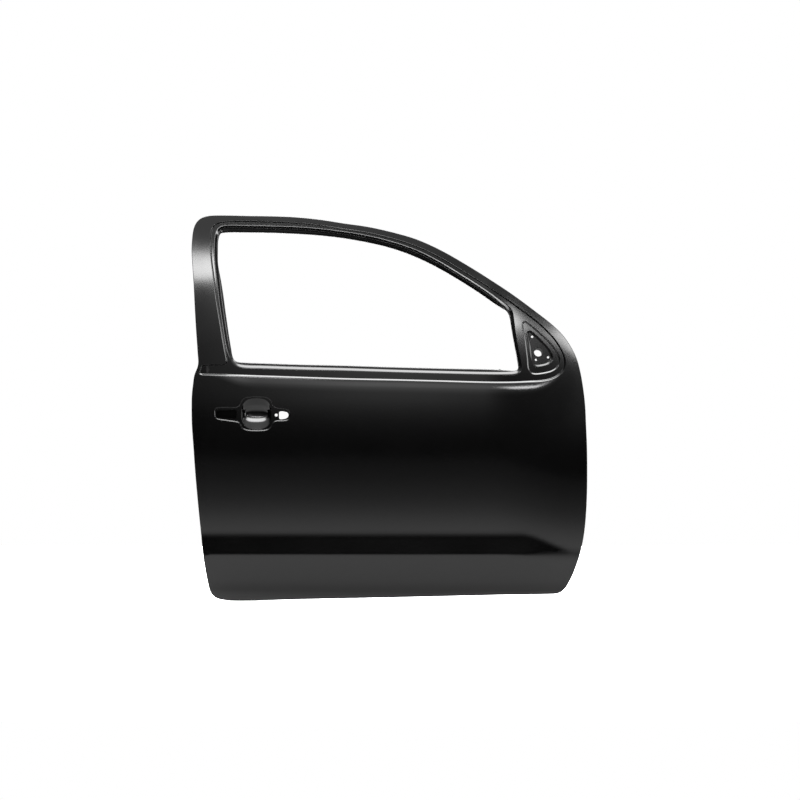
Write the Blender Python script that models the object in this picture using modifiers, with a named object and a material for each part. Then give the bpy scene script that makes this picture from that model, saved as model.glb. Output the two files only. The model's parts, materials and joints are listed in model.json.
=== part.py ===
"""Right-hand front door shell of a two-door pickup truck.

The door frame of reference: u runs forward from the rearmost point of the outline, v runs
inboard from the outermost point of the skin, and w runs up from the lowest point. An empty
carries every piece, so that the world's origin lies on the upper hinge face.
"""

import math

import bmesh
import bpy
import numpy as np
from mathutils import Matrix, Vector
from mathutils.geometry import delaunay_2d_cdt

MM = 0.001

# Overall size and sheet
DOOR_LENGTH = 1188 * MM
DOOR_HEIGHT = 1159 * MM
SHEET = 0.8 * MM
GAP = 0.3 * MM
STACK = SHEET + GAP
LONGEST_EDGE = 62 * MM
LARGEST_TURN = math.radians(16)
FILL_SPACING = 78 * MM

# Form of the outer skin
PLAN_RADIUS = 12000 * MM
CROWN_RADIUS = 1770 * MM
CROWN_HEIGHT = 0.3883 * DOOR_HEIGHT
CROWN_DROP = 70 * MM
CROWN_DROP_START = 0.7407 * DOOR_LENGTH
CROWN_DROP_RUN = 0.2357 * DOOR_LENGTH
FRAME_RADIUS = 1900 * MM
SHOULDER_HEIGHT = 0.5738 * DOOR_HEIGHT
BAND_TOP = 0.1717 * DOOR_HEIGHT
BAND_TOP_DROP = 48 * MM
BAND_DROP_START = 0.8291 * DOOR_LENGTH
BAND_DROP_RUN = 0.1431 * DOOR_LENGTH
RIDGE_HEIGHT = 0.1173 * DOOR_HEIGHT
TUCK_HEIGHT = 0.0397 * DOOR_HEIGHT
BAND_FLARE = math.radians(2)
SILL_TILT = math.radians(9)
TUCK_TILT = math.radians(16)

# Hem, recess round the window, window flange
HEM_RETURN = 9 * MM
HEM_FLAT = 0.01035 * DOOR_HEIGHT
RECESS_DEPTH = 7 * MM
RECESS_WALL = 2 * MM
LEDGE_RADIUS = 2.5 * MM
FOOT_START = 3.5 * MM
FOOT_END = 12 * MM
SILL_RISE = 17 * MM
SILL_FLANGE = 5 * MM
LIP_WIDTH = 24 * MM
LIP_TURN = 7 * MM
SAIL_STEP = 3 * MM
SAIL_STEP_WALL = 2 * MM

# Handle recess
RECESS_LENGTH = 225 * MM
RECESS_HEIGHT = 103 * MM
PAD_DEPTH = 2.5 * MM
PAD_WALL = 1.6 * MM
CUP_WIDTH = 88 * MM
CUP_HEIGHT = 92 * MM
CUP_DEPTH = 22 * MM
LOCK_HOLE = 9 * MM

# Inner panel
TRIM_DEPTH = 135 * MM
BELT_DEPTH = 85 * MM
BELT_HEIGHT = 0.5988 * DOOR_HEIGHT
BELT_BLEND = 72 * MM
SHELF_RISE = 56 * MM
SHELF_HEAD_HEIGHT = 0.5522 * DOOR_HEIGHT
SHELF_FOOT_HEIGHT = SHELF_HEAD_HEIGHT - SHELF_RISE
FRAME_DEPTH = 28 * MM
HINGE_FACE_INSET = 64 * MM
LATCH_FACE_INSET = 68 * MM
WALL_INSETS = ((HEM_FLAT, HEM_FLAT), (14 * MM, 12.8 * MM), (34 * MM, 14.6 * MM),
               (36 * MM, 16 * MM), (48 * MM, 18.6 * MM))
WALL_ROUND = 12 * MM
SPEAKER_HOLE = 150 * MM
SPEAKER_RIM = 14 * MM
ACCESS_RIM = 10 * MM
RIM_RISE = 4 * MM
BEAD_RISE = 5 * MM
BEAD_WALL = 7 * MM

# Hinges, latch and door check
UPPER_HINGE_HEIGHT = 0.459 * DOOR_HEIGHT
HINGE_SPACING = 0.2209 * DOOR_HEIGHT
LOWER_HINGE_HEIGHT = UPPER_HINGE_HEIGHT - HINGE_SPACING
HINGE_DEPTH = 84 * MM
HINGE_BOLT_HOLE = 11 * MM
HINGE_BOLT_PITCH = 56 * MM
HINGE_PLATE = 2.5 * MM
HINGE_PLATE_HEIGHT = 0.0863 * DOOR_HEIGHT
HINGE_PLATE_WIDTH = 62 * MM
HINGE_PLATE_CORNER = 10 * MM
NUT_PLATE = 6 * MM
NUT_PLATE_MARGIN = 12 * MM
NUT_PLATE_HEIGHT = HINGE_PLATE_HEIGHT - NUT_PLATE_MARGIN
NUT_PLATE_WIDTH = 26 * MM
NUT_HOLE = 8.4 * MM
CHECK_BELOW_HINGE = 0.0828 * DOOR_HEIGHT
CHECK_HEIGHT = UPPER_HINGE_HEIGHT - CHECK_BELOW_HINGE
CHECK_SLOT_WIDTH = 22 * MM
CHECK_SLOT_HEIGHT = 34 * MM
CHECK_PLATE_WIDTH = 56 * MM
CHECK_PLATE_HEIGHT = 0.0725 * DOOR_HEIGHT
CHECK_PLATE = 1.5 * MM
CHECK_BOLT_HOLE = 7 * MM
CHECK_BOLT_MARGIN = 24 * MM
CHECK_BOLT_PITCH = CHECK_PLATE_HEIGHT - CHECK_BOLT_MARGIN
LATCH_HEIGHT = 0.4357 * DOOR_HEIGHT
LATCH_DEPTH = 88 * MM
LATCH_SLOT_WIDTH = 30 * MM
LATCH_SLOT_HEIGHT = 46 * MM
LATCH_PLATE_WIDTH = 62 * MM
LATCH_PLATE_HEIGHT = 132 * MM
LATCH_PLATE = 1.5 * MM
LATCH_SCREW_HOLE = 7 * MM
LATCH_SCREW_PITCH = 84 * MM
DRAIN_LENGTH = 26 * MM
DRAIN_WIDTH = 8 * MM
DRAIN_DEPTH = 86 * MM
RIM_HEIGHT = 42 * MM
CUT_DEPTH = 40 * MM

# Side impact tube and its brackets
BEAM_DIAMETER = 28 * MM
BEAM_GAP = 4 * MM
BEAM_FRONT_HEIGHT = 0.3123 * DOOR_HEIGHT
BEAM_REAR_HEIGHT = 0.2459 * DOOR_HEIGHT
BEAM_END_INSET = 78 * MM
BRACKET_SHEET = 2.0 * MM
BRACKET_HEIGHT = 0.0483 * DOOR_HEIGHT
BRACKET_ARM = 104 * MM
BRACKET_FOOT = 34 * MM

# Glass channels
CHANNEL_SHEET = 1.0 * MM
CHANNEL_LEG = 12 * MM
CHANNEL_WIDTH = 12.6 * MM
DIVISION_TOP_DROP = 32 * MM
CHANNEL_FOOT_HEIGHT = 0.3581 * DOOR_HEIGHT
CHANNEL_TOP_DROP = 40 * MM
CHANNEL_LEAN = 5 * MM
CHANNEL_BRACKET_WIDTH = 28 * MM
CHANNEL_BRACKET_FOOT = 26 * MM

# Reinforcements
BELT_STRIP_SHEET = 1.0 * MM
BELT_STRIP_TOP = 15 * MM
BELT_STRIP_RISE = 12 * MM
BELT_STRIP_WEB = 26 * MM
BELT_STRIP_SLOPE = 5 * MM
INNER_STRIP_RISE = 9 * MM
INNER_STRIP_FLANGE = 8 * MM
INNER_STRIP_WEB = 11 * MM
MIRROR_PLATE = 1.5 * MM
MIRROR_PLATE_MARGIN = 3 * MM
MIRROR_SEAT_HOLE = 26 * MM
MIRROR_BOLT_HOLE = 7 * MM
MIRROR_HOLE_SHIFT_U = -4 * MM
MIRROR_HOLE_SHIFT_W = -7 * MM
WELD_NUT_DIAMETER = 14 * MM
WELD_NUT_HEIGHT = 6 * MM
HANDLE_PLATE = 1.2 * MM
HANDLE_PLATE_MARGIN = 6 * MM
STIFFENER_SHEET = 0.8 * MM
STIFFENER_GAP = 0.8 * MM
STIFFENER_WIDTH = 46 * MM
STIFFENER_RISE = 9 * MM
STIFFENER_LAND = 13 * MM
STIFFENER_HEIGHT = 0.3926 * DOOR_HEIGHT
PULL_SHEET = 2.0 * MM
PULL_LENGTH = 120 * MM
PULL_FOOT = 22 * MM
PULL_RISE = 22 * MM
PULL_WIDTH = 34 * MM
PULL_HEIGHT = 0.4055 * DOOR_HEIGHT

# Outline of the whole door, as shares of the length and the height
OUTLINE_SHARES = (
    (0.000, 0.908), (0.001, 0.934), (0.004, 0.962), (0.011, 0.981), (0.024, 0.9935),
    (0.043, 0.999), (0.083, 1.000), (0.144, 0.9987), (0.204, 0.9977), (0.265, 0.995),
    (0.326, 0.9886), (0.386, 0.979), (0.447, 0.970), (0.508, 0.956), (0.568, 0.938),
    (0.629, 0.910), (0.689, 0.875), (0.750, 0.836), (0.811, 0.7945), (0.871, 0.749),
    (0.912, 0.716), (0.937, 0.691), (0.953, 0.669), (0.966, 0.646), (0.975, 0.625),
    (0.983, 0.594), (0.989, 0.560), (0.995, 0.510), (0.9974, 0.458), (1.000, 0.3905),
    (1.000, 0.287), (0.9974, 0.225), (0.9925, 0.173), (0.982, 0.121), (0.965, 0.070),
    (0.952, 0.044), (0.941, 0.0265), (0.927, 0.0185), (0.900, 0.0170), (0.780, 0.015),
    (0.528, 0.009), (0.290, 0.004), (0.121, 0.000), (0.086, 0.0013), (0.060, 0.0078),
    (0.048, 0.0225), (0.0427, 0.044), (0.0376, 0.070), (0.030, 0.121), (0.025, 0.173),
    (0.0174, 0.251), (0.0099, 0.339), (0.006, 0.398), (0.002, 0.458), (0.002, 0.5355),
    (0.005, 0.561), (0.008, 0.5857), (0.0184, 0.6105), (0.0167, 0.636), (0.0149, 0.665),
    (0.0119, 0.706), (0.0083, 0.768), (0.0058, 0.820), (0.0023, 0.872),
)

# Crease that rings the window, the sill strip and the mirror sail
CREASE_SHARES = (
    (0.0315, 0.5853), (0.083, 0.583), (0.144, 0.581), (0.265, 0.577), (0.386, 0.573),
    (0.508, 0.5704), (0.629, 0.5673), (0.750, 0.564), (0.811, 0.564), (0.856, 0.566),
    (0.888, 0.568), (0.911, 0.5732), (0.9305, 0.584), (0.944, 0.600), (0.947, 0.618),
    (0.941, 0.6416), (0.9224, 0.6744), (0.899, 0.701), (0.871, 0.727), (0.811, 0.7725),
    (0.750, 0.816), (0.689, 0.855), (0.629, 0.8916), (0.568, 0.9213), (0.508, 0.941),
    (0.447, 0.956), (0.386, 0.9656), (0.326, 0.975), (0.265, 0.981), (0.164, 0.985),
    (0.100, 0.9855), (0.0773, 0.9834), (0.064, 0.981), (0.0548, 0.974), (0.0485, 0.9638),
    (0.0467, 0.934), (0.0477, 0.8926), (0.0528, 0.851), (0.0573, 0.810), (0.064, 0.763),
    (0.070, 0.727), (0.0768, 0.6856), (0.0839, 0.644), (0.0888, 0.6235), (0.0905, 0.6165),
    (0.0856, 0.613), (0.060, 0.6123), (0.042, 0.6115), (0.0362, 0.6065), (0.031, 0.594),
)

# Skin's edge round the window: place, how far it is a frame flange, share of the lip width
WINDOW_SHARES = (
    (0.0755, 0.9754, 1, 1.02), (0.144, 0.976, 1, 1.02), (0.204, 0.9746, 1, 1.0),
    (0.265, 0.9725, 1, 1.03), (0.326, 0.9676, 1, 1.0), (0.386, 0.960, 1, 0.98),
    (0.447, 0.9495, 1, 1.0), (0.508, 0.934, 1, 0.97), (0.568, 0.913, 1, 1.0),
    (0.629, 0.882, 1, 0.95), (0.689, 0.845, 1, 0.9), (0.750, 0.8046, 1, 0.9),
    (0.780, 0.782, 0.9, 0.88), (0.800, 0.767, 0.6, 0.76), (0.812, 0.754, 0.2, 0.62),
    (0.8156, 0.737, 0, 0.5), (0.8197, 0.701, 0, 0.43), (0.826, 0.662, 0, 0.42),
    (0.834, 0.6235, 0, 0.44), (0.837, 0.604, 0, 0.42), (0.8345, 0.5915, 0, 0.40),
    (0.823, 0.5858, 0, 0.42), (0.790, 0.584, 0, 0.60), (0.750, 0.584, 0, 0.69),
    (0.629, 0.5867, 0, 0.69), (0.508, 0.590, 0, 0.69), (0.386, 0.594, 0, 0.69),
    (0.265, 0.597, 0, 0.69), (0.179, 0.600, 0, 0.69), (0.1286, 0.602, 0, 0.69),
    (0.111, 0.607, 0, 0.55), (0.1013, 0.617, 0, 0.32), (0.0947, 0.631, 0.3, 0.42),
    (0.0887, 0.649, 0.8, 0.60), (0.082, 0.6856, 1, 0.64), (0.0765, 0.722, 1, 0.66),
    (0.0725, 0.748, 1, 0.67), (0.067, 0.789, 1, 0.68), (0.0624, 0.8305, 1, 0.575),
    (0.0576, 0.872, 1, 0.44), (0.0556, 0.908, 1, 0.53), (0.0563, 0.939, 1, 0.53),
    (0.0604, 0.961, 1, 0.7), (0.067, 0.9716, 1, 0.95),
)

# Steps and holes of the mirror sail
SAIL_OUTER_SHARES = (
    (0.836, 0.719), (0.842, 0.675), (0.8477, 0.6286), (0.851, 0.599), (0.861, 0.5872),
    (0.894, 0.5888), (0.9167, 0.5965), (0.930, 0.6105), (0.932, 0.626), (0.9225, 0.648),
    (0.904, 0.672), (0.876, 0.699), (0.8535, 0.7176), (0.843, 0.7254),
)
SAIL_INNER_SHARES = (
    (0.8477, 0.696), (0.853, 0.662), (0.858, 0.6247), (0.8666, 0.608), (0.889, 0.608),
    (0.907, 0.6157), (0.9146, 0.6286), (0.910, 0.6434), (0.894, 0.665), (0.8724, 0.687),
    (0.856, 0.700),
)
MIRROR_BOLT_SHARES = ((0.8613, 0.6835), (0.9017, 0.6304), (0.871, 0.6242))
MIRROR_SEAT_SHARE = (0.8772, 0.644)

# Handle recess: its centre on the door, its outline and its holes as shares of its own size
HANDLE_SHARE = (0.165, 0.4845)
HANDLE_OUTLINE_SHARES = (
    (-0.556, -0.07), (-0.556, 0.12), (-0.545, 0.17), (-0.40, 0.19), (-0.245, 0.205),
    (-0.222, 0.26), (-0.205, 0.36), (-0.15, 0.465), (0, 0.50), (0.15, 0.465),
    (0.205, 0.36), (0.222, 0.24), (0.26, 0.18), (0.36, 0.15), (0.43, 0.11),
    (0.452, 0.03), (0.452, -0.10), (0.43, -0.18), (0.36, -0.21), (0.26, -0.22),
    (0.222, -0.27), (0.205, -0.37), (0.15, -0.47), (0, -0.50), (-0.15, -0.47),
    (-0.205, -0.38), (-0.222, -0.28), (-0.25, -0.25), (-0.40, -0.20), (-0.54, -0.14),
)
REAR_SLOT_SHARES = (
    (-0.535, -0.07), (-0.535, 0.07), (-0.52, 0.095), (-0.40, 0.10), (-0.275, 0.11),
    (-0.262, 0.07), (-0.262, -0.09), (-0.275, -0.135), (-0.40, -0.12), (-0.52, -0.10),
)
FRONT_SLOT_SHARES = (
    (0.305, -0.145), (0.305, 0.05), (0.315, 0.065), (0.38, 0.06), (0.415, 0.03),
    (0.43, -0.04), (0.415, -0.11), (0.38, -0.15), (0.315, -0.16),
)
LOCK_SHARE = (0.265, -0.04)

# Openings and beads of the inner panel, as shares of the door
REAR_ACCESS_SHARES = (
    (0.195, 0.335), (0.195, 0.455), (0.205, 0.482), (0.235, 0.490), (0.33, 0.490),
    (0.42, 0.486), (0.445, 0.470), (0.448, 0.40), (0.440, 0.31), (0.42, 0.285),
    (0.32, 0.275), (0.225, 0.285), (0.202, 0.305),
)
FRONT_ACCESS_SHARES = (
    (0.520, 0.31), (0.515, 0.40), (0.518, 0.462), (0.535, 0.486), (0.62, 0.488),
    (0.74, 0.482), (0.762, 0.465), (0.765, 0.42), (0.752, 0.36), (0.70, 0.318),
    (0.62, 0.292), (0.545, 0.290),
)
SPEAKER_SHARE = (0.765, 0.188)
SAIL_ACCESS_SHARES = (
    (0.856, 0.688), (0.862, 0.652), (0.868, 0.632), (0.880, 0.622), (0.900, 0.622),
    (0.912, 0.632), (0.907, 0.648), (0.890, 0.668), (0.870, 0.690), (0.861, 0.694),
)
BEAD_SHARES = (
    ((0.152, 0.222), (0.158, 0.243), (0.18, 0.250), (0.30, 0.250), (0.43, 0.250), (0.452, 0.243),
     (0.458, 0.222), (0.452, 0.203), (0.43, 0.196), (0.30, 0.196), (0.18, 0.196),
     (0.158, 0.203)),
    ((0.13, 0.125), (0.14, 0.150), (0.32, 0.150), (0.56, 0.150), (0.58, 0.130),
     (0.56, 0.105), (0.32, 0.100), (0.14, 0.105)),
    ((0.815, 0.37), (0.812, 0.43), (0.825, 0.475), (0.85, 0.478), (0.865, 0.455),
     (0.862, 0.40), (0.85, 0.365), (0.83, 0.355)),
)
DRAIN_SHARES = (0.22, 0.48, 0.74)

# Ends and places of the inner pieces, as shares of the door
SILL_TOP_SHARE = 0.6035
LIP_WELD_SHARE = 0.86
BELT_START_SHARE = 0.19
BELT_END_SHARE = 0.795
DIVISION_TOP_SHARE = (0.8156, 0.737)
DIVISION_SILL_SHARE = (0.834, 0.6235)
REAR_CHANNEL_SHARE = (0.104, 0.600)
STIFFENER_SHARES = (0.285, 0.835)
PULL_SHARE = 0.481
STEEL = (0.014, 0.014, 0.016)
ON_WALL = (math.pi / 2, 0, math.pi / 2)


def ease(value, start, run):
    """Rise smoothly from nought to one over a run."""
    share = min(max((value - start) / run, 0.0), 1.0)
    return share * share * (3 - 2 * share)


def arc_drop(radius, reach):
    """Depth of an arc of a radius at a reach from its outermost point."""
    return radius - math.sqrt(radius * radius - reach * reach)


def skin_depth(u, w):
    """Depth of the skin's middle surface, without recesses."""
    centre = CROWN_HEIGHT - CROWN_DROP * ease(u, CROWN_DROP_START, CROWN_DROP_RUN)
    top = BAND_TOP - BAND_TOP_DROP * ease(u, BAND_DROP_START, BAND_DROP_RUN)
    bow = arc_drop(PLAN_RADIUS, u - DOOR_LENGTH / 2)
    if w > SHOULDER_HEIGHT:
        lean = (SHOULDER_HEIGHT - centre) / CROWN_RADIUS
        reach = lean * FRAME_RADIUS
        above = arc_drop(FRAME_RADIUS, reach + w - SHOULDER_HEIGHT)
        shoulder = arc_drop(CROWN_RADIUS, SHOULDER_HEIGHT - centre)
        return bow + shoulder + above - arc_drop(FRAME_RADIUS, reach)
    if w >= top:
        return bow + arc_drop(CROWN_RADIUS, w - centre)
    depth = arc_drop(CROWN_RADIUS, centre - top)
    depth -= (top - max(w, RIDGE_HEIGHT)) * math.tan(BAND_FLARE)
    if w < RIDGE_HEIGHT:
        depth += (RIDGE_HEIGHT - max(w, TUCK_HEIGHT)) * math.tan(SILL_TILT)
    if w < TUCK_HEIGHT:
        depth += (TUCK_HEIGHT - w) * math.tan(TUCK_TILT)
    return bow + depth


def inboard_normal(u, w):
    """Unit normal of the skin that points into the car, as (u, v, w)."""
    slope_u = (skin_depth(u + SHEET, w) - skin_depth(u - SHEET, w)) / (2 * SHEET)
    slope_w = (skin_depth(u, w + SHEET) - skin_depth(u, w - SHEET)) / (2 * SHEET)
    return Vector((-slope_u, 1, -slope_w)).normalized()


def recess_depth(u, w):
    """Floor of the recess that rings the window."""
    return skin_depth(u, w) + RECESS_DEPTH


def inner_depth(u, w):
    """Depth of the inner panel's face: trim plane, shelf, belt and window frame."""
    body = TRIM_DEPTH + (BELT_DEPTH - TRIM_DEPTH) * ease(
        w, SHELF_FOOT_HEIGHT, SHELF_HEAD_HEIGHT - SHELF_FOOT_HEIGHT)
    frame = skin_depth(u, w) + FRAME_DEPTH
    return body + (frame - body) * ease(w, BELT_HEIGHT, BELT_BLEND)


def stacked(depth_at, u, w, layers=1):
    """Depth of a sheet that lies outboard of another face, square to its slope."""
    slope = (depth_at(u, w + SHEET) - depth_at(u, w - SHEET)) / (2 * SHEET)
    return depth_at(u, w) - layers * STACK * math.hypot(1, slope)


def on_door(shares):
    """Plan points from shares of the door's length and height."""
    return [(s[0] * DOOR_LENGTH, s[1] * DOOR_HEIGHT, *s[2:]) for s in shares]


def on_handle(shares):
    """Plan points from shares of the handle recess."""
    u, w = HANDLE_SHARE[0] * DOOR_LENGTH, HANDLE_SHARE[1] * DOOR_HEIGHT
    return [(u + s[0] * RECESS_LENGTH, w + s[1] * RECESS_HEIGHT) for s in shares]


def spline(pts, steps):
    """Closed centripetal curve through points, with a number of steps to each stretch."""
    before, after, beyond = (np.roll(pts, k, axis=0) for k in (1, -1, -2))
    first, middle, last = (np.sqrt(np.linalg.norm((b - a)[:, :2], axis=1))[:, None]
                           for a, b in ((before, pts), (pts, after), (after, beyond)))
    leave = middle * ((pts - before) / first - (after - before) / (first + middle))
    leave += after - pts
    arrive = middle * ((beyond - after) / last - (beyond - pts) / (middle + last))
    arrive += after - pts
    rows = []
    for t in np.linspace(0, 1, steps, endpoint=False):
        near, far = 2 * t ** 3 - 3 * t ** 2 + 1, 3 * t ** 2 - 2 * t ** 3
        rows.append(near * pts + (t ** 3 - 2 * t ** 2 + t) * leave
                    + far * after + (t ** 3 - t ** 2) * arrive)
    return np.stack(rows, axis=1).reshape(-1, pts.shape[1])


def smooth_loop(controls, edge=LONGEST_EDGE, turn=LARGEST_TURN, steps=16):
    """Closed centripetal spline, thinned to a point at each edge length or turn."""
    pts = np.array(controls, float)
    if area(pts) < 0:
        pts = pts[::-1]
    fine = spline(pts, steps)
    kept, run, bend = [fine[0]], 0.0, 0.0
    for a, b, c in zip(fine, fine[1:], np.roll(fine, -2, axis=0)):
        run += math.dist(a[:2], b[:2])
        bend += abs(turn_between(b[:2] - a[:2], c[:2] - b[:2]))
        if run >= edge or bend >= turn:
            kept.append(b)
            run, bend = 0.0, 0.0
    if run < edge / 3 and len(kept) > 8 and bend < turn / 2:
        kept.pop()
    return np.array(kept)


def turn_between(a, b):
    """Angle from one plan direction to the next."""
    return math.atan2(a[0] * b[1] - a[1] * b[0], a[0] * b[0] + a[1] * b[1])


def area(pts):
    """Signed area of a plan loop."""
    pts = np.asarray(pts)
    nxt = np.roll(pts, -1, axis=0)
    return float(np.sum(pts[:, 0] * nxt[:, 1] - nxt[:, 0] * pts[:, 1])) / 2


def round_loop(centre, width, height, count, power=2.0):
    """Loop from a circle to a rounded square about a centre."""
    pts = []
    for i in range(count):
        angle = math.tau * i / count
        c, s = math.cos(angle), math.sin(angle)
        pts.append((centre[0] + math.copysign(abs(c) ** (2 / power), c) * width / 2,
                    centre[1] + math.copysign(abs(s) ** (2 / power), s) * height / 2))
    return np.array(pts)


def outward(pts):
    """Outward plan normal at each point of a loop, longer at corners."""
    before = pts[:, :2] - np.roll(pts, 1, axis=0)[:, :2]
    after = np.roll(pts, -1, axis=0)[:, :2] - pts[:, :2]
    before /= np.linalg.norm(before, axis=1)[:, None]
    after /= np.linalg.norm(after, axis=1)[:, None]
    along = before + after
    half = np.maximum(np.linalg.norm(along, axis=1) / 2, 0.75)
    along /= np.linalg.norm(along, axis=1)[:, None]
    return np.stack([along[:, 1], -along[:, 0]], axis=1) / half[:, None]


def inset(pts, distance, rounds=1, easing=1.0):
    """Loop moved inwards by a distance, or by one distance a point, and eased round corners."""
    pts = np.array(pts, float)
    distance = np.broadcast_to(np.asarray(distance, float), (len(pts),)) / rounds
    for _ in range(rounds):
        pts[:, :2] -= outward(pts) * distance[:, None]
        if rounds > 1:
            middle = (np.roll(pts, 1, axis=0) + np.roll(pts, -1, axis=0)) / 2
            weight = np.broadcast_to(np.asarray(easing, float), (len(pts),)) / 4
            pts[:, :2] += (middle - pts)[:, :2] * weight[:, None]
    return pts


def inside(point, loop):
    """Whether a plan point lies in a loop."""
    x, y = point
    odd = False
    for (ax, ay), (bx, by) in zip(loop, loop[1:] + loop[:1]):
        if (ay > y) != (by > y) and x < (bx - ax) * (y - ay) / (by - ay) + ax:
            odd = not odd
    return odd


class Sheet:
    """An open middle surface of pressed sheet, grown loop by loop."""

    def __init__(self):
        self.bm = bmesh.new()

    def ring(self, points):
        """Points of one loop or line."""
        return [self.bm.verts.new(p) for p in points]

    def level(self, plan, depth_at):
        """Ring whose points take their depth from their place."""
        return self.ring([(p[0], depth_at(p[0], p[1]), p[1]) for p in plan])

    def strip(self, *rings, closed=True):
        """Faces between rings that have as many points."""
        for a, b in zip(rings, rings[1:]):
            for i in range(len(a) if closed else len(a) - 1):
                j = (i + 1) % len(a)
                self.bm.faces.new((a[i], a[j], b[j], b[i]))
        return rings[-1]

    def fill(self, rim, holes, depth_at, spacing=FILL_SPACING, creases=()):
        """Triangulate between a rim and its holes, with inner points on the surface."""
        rings = [rim, *holes]
        loops = [[(v.co.x, v.co.z) for v in ring] for ring in rings]
        points, edges, verts = [], [], []
        for ring, loop in zip(rings, loops):
            first = len(points)
            points += loop
            verts += ring
            edges += [(first + i, first + (i + 1) % len(loop)) for i in range(len(loop))]
        for line in creases:
            first = len(points)
            points += [tuple(p) for p in line]
            edges += [(first + i, first + i + 1) for i in range(len(line) - 1)]
        fixed = np.array(points)
        (low_u, low_w), (high_u, high_w) = fixed.min(axis=0), fixed.max(axis=0)
        rows = max(int((high_w - low_w) / spacing), 1)
        columns = max(int((high_u - low_u) / spacing), 1)
        for r in range(1, rows):
            for c in range(1, columns):
                p = (low_u + (high_u - low_u) * (c + (r % 2) / 2) / columns,
                     low_w + (high_w - low_w) * r / rows)
                near = np.hypot(*(fixed - p).T).min()
                if near > spacing / 2 and inside(p, loops[0]) and not any(
                        inside(p, loop) for loop in loops[1:]):
                    points.append(p)
        out, _, faces, origins, _, _ = delaunay_2d_cdt(
            [Vector(p) for p in points], edges, [], 0, SHEET / 1000)
        made = []
        for p, origin in zip(out, origins):
            known = [o for o in origin if o < len(verts)]
            made.append(verts[known[0]] if known else
                        self.bm.verts.new((p.x, depth_at(p.x, p.y), p.y)))
        for face in faces:
            middle = sum((out[i] for i in face), Vector((0, 0))) / len(face)
            if inside(middle, loops[0]) and not any(inside(middle, h) for h in loops[1:]):
                self.bm.faces.new([made[i] for i in face])

    def pocket(self, plan, levels):
        """Rings that step down from a rim; levels are (inset, depth function) pairs."""
        rings = [self.level(inset(plan, d), f) for d, f in levels]
        self.strip(*rings)
        return rings


def add(name, mesh, colour, roughness=0.35, metallic=0.0):
    """Object with its own material, carried by the door's empty."""
    material = bpy.data.materials.new(name + "_finish")
    material.use_nodes = True
    shader = material.node_tree.nodes["Principled BSDF"]
    shader.inputs["Base Color"].default_value = (*colour, 1)
    shader.inputs["Roughness"].default_value = roughness
    shader.inputs["Metallic"].default_value = metallic
    mesh.materials.append(material)
    obj = bpy.data.objects.new(name, mesh)
    PARTS.objects.link(obj)
    obj.parent = CARRIER
    return obj


def thicken(obj, thickness, offset=0.0):
    """Give an open surface its sheet thickness."""
    solid = obj.modifiers.new("sheet", "SOLIDIFY")
    solid.thickness = thickness
    solid.offset = offset
    solid.use_even_offset = True
    return obj


def pressed(name, sheet, thickness=SHEET, colour=(0.012, 0.012, 0.014)):
    """Object from a grown sheet."""
    bmesh.ops.recalc_face_normals(sheet.bm, faces=sheet.bm.faces)
    mesh = bpy.data.meshes.new(name)
    sheet.bm.to_mesh(mesh)
    sheet.bm.free()
    mesh.shade_smooth()
    mesh.set_sharp_from_angle(angle=LARGEST_TURN * 2)
    return thicken(add(name, mesh, colour), thickness)


def hem_rings(sheet, edge):
    """Rings that fold the skin's edge round the inner panel's flange."""
    normals = outward(edge)
    rings = []
    for degrees in (60, 120, 180):
        angle = math.radians(degrees)
        ring = []
        for (u, w), out in zip(edge[:, :2], normals):
            n = inboard_normal(u, w)
            flat = Vector((out[0], 0, out[1]))
            flat = (flat - n * flat.dot(n))
            ring.append(Vector((u, skin_depth(u, w), w)) + n * STACK * (1 - math.cos(angle))
                        + flat * STACK * math.sin(angle))
        rings.append(sheet.ring(ring))
    back = []
    for (u, w), out, vert in zip(edge[:, :2], normals, rings[-1]):
        n = inboard_normal(u, w)
        flat = Vector((out[0], 0, out[1]))
        back.append(vert.co - (flat - n * flat.dot(n)) * HEM_RETURN)
    rings.append(sheet.ring(back))
    return rings


def foot_depth(u, w, deep):
    """Depth of the flange round the window: on the inner panel, or hanging at the sill."""
    frame = stacked(inner_depth, u, w)
    sill = recess_depth(u, w) + SILL_FLANGE
    return sill + (frame - sill) * deep


def sail_plane():
    """Depth function of the flat mirror seat, and its slopes."""
    cu, cw = MIRROR_SEAT_SHARE[0] * DOOR_LENGTH, MIRROR_SEAT_SHARE[1] * DOOR_HEIGHT
    step = FOOT_END
    along = (skin_depth(cu + step, cw) - skin_depth(cu - step, cw)) / (2 * step)
    up = (skin_depth(cu, cw + step) - skin_depth(cu, cw - step)) / (2 * step)
    base = recess_depth(cu, cw) + 2 * SAIL_STEP

    def depth(u, w):
        return base + along * (u - cu) + up * (w - cw)
    return depth, along, up


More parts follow.
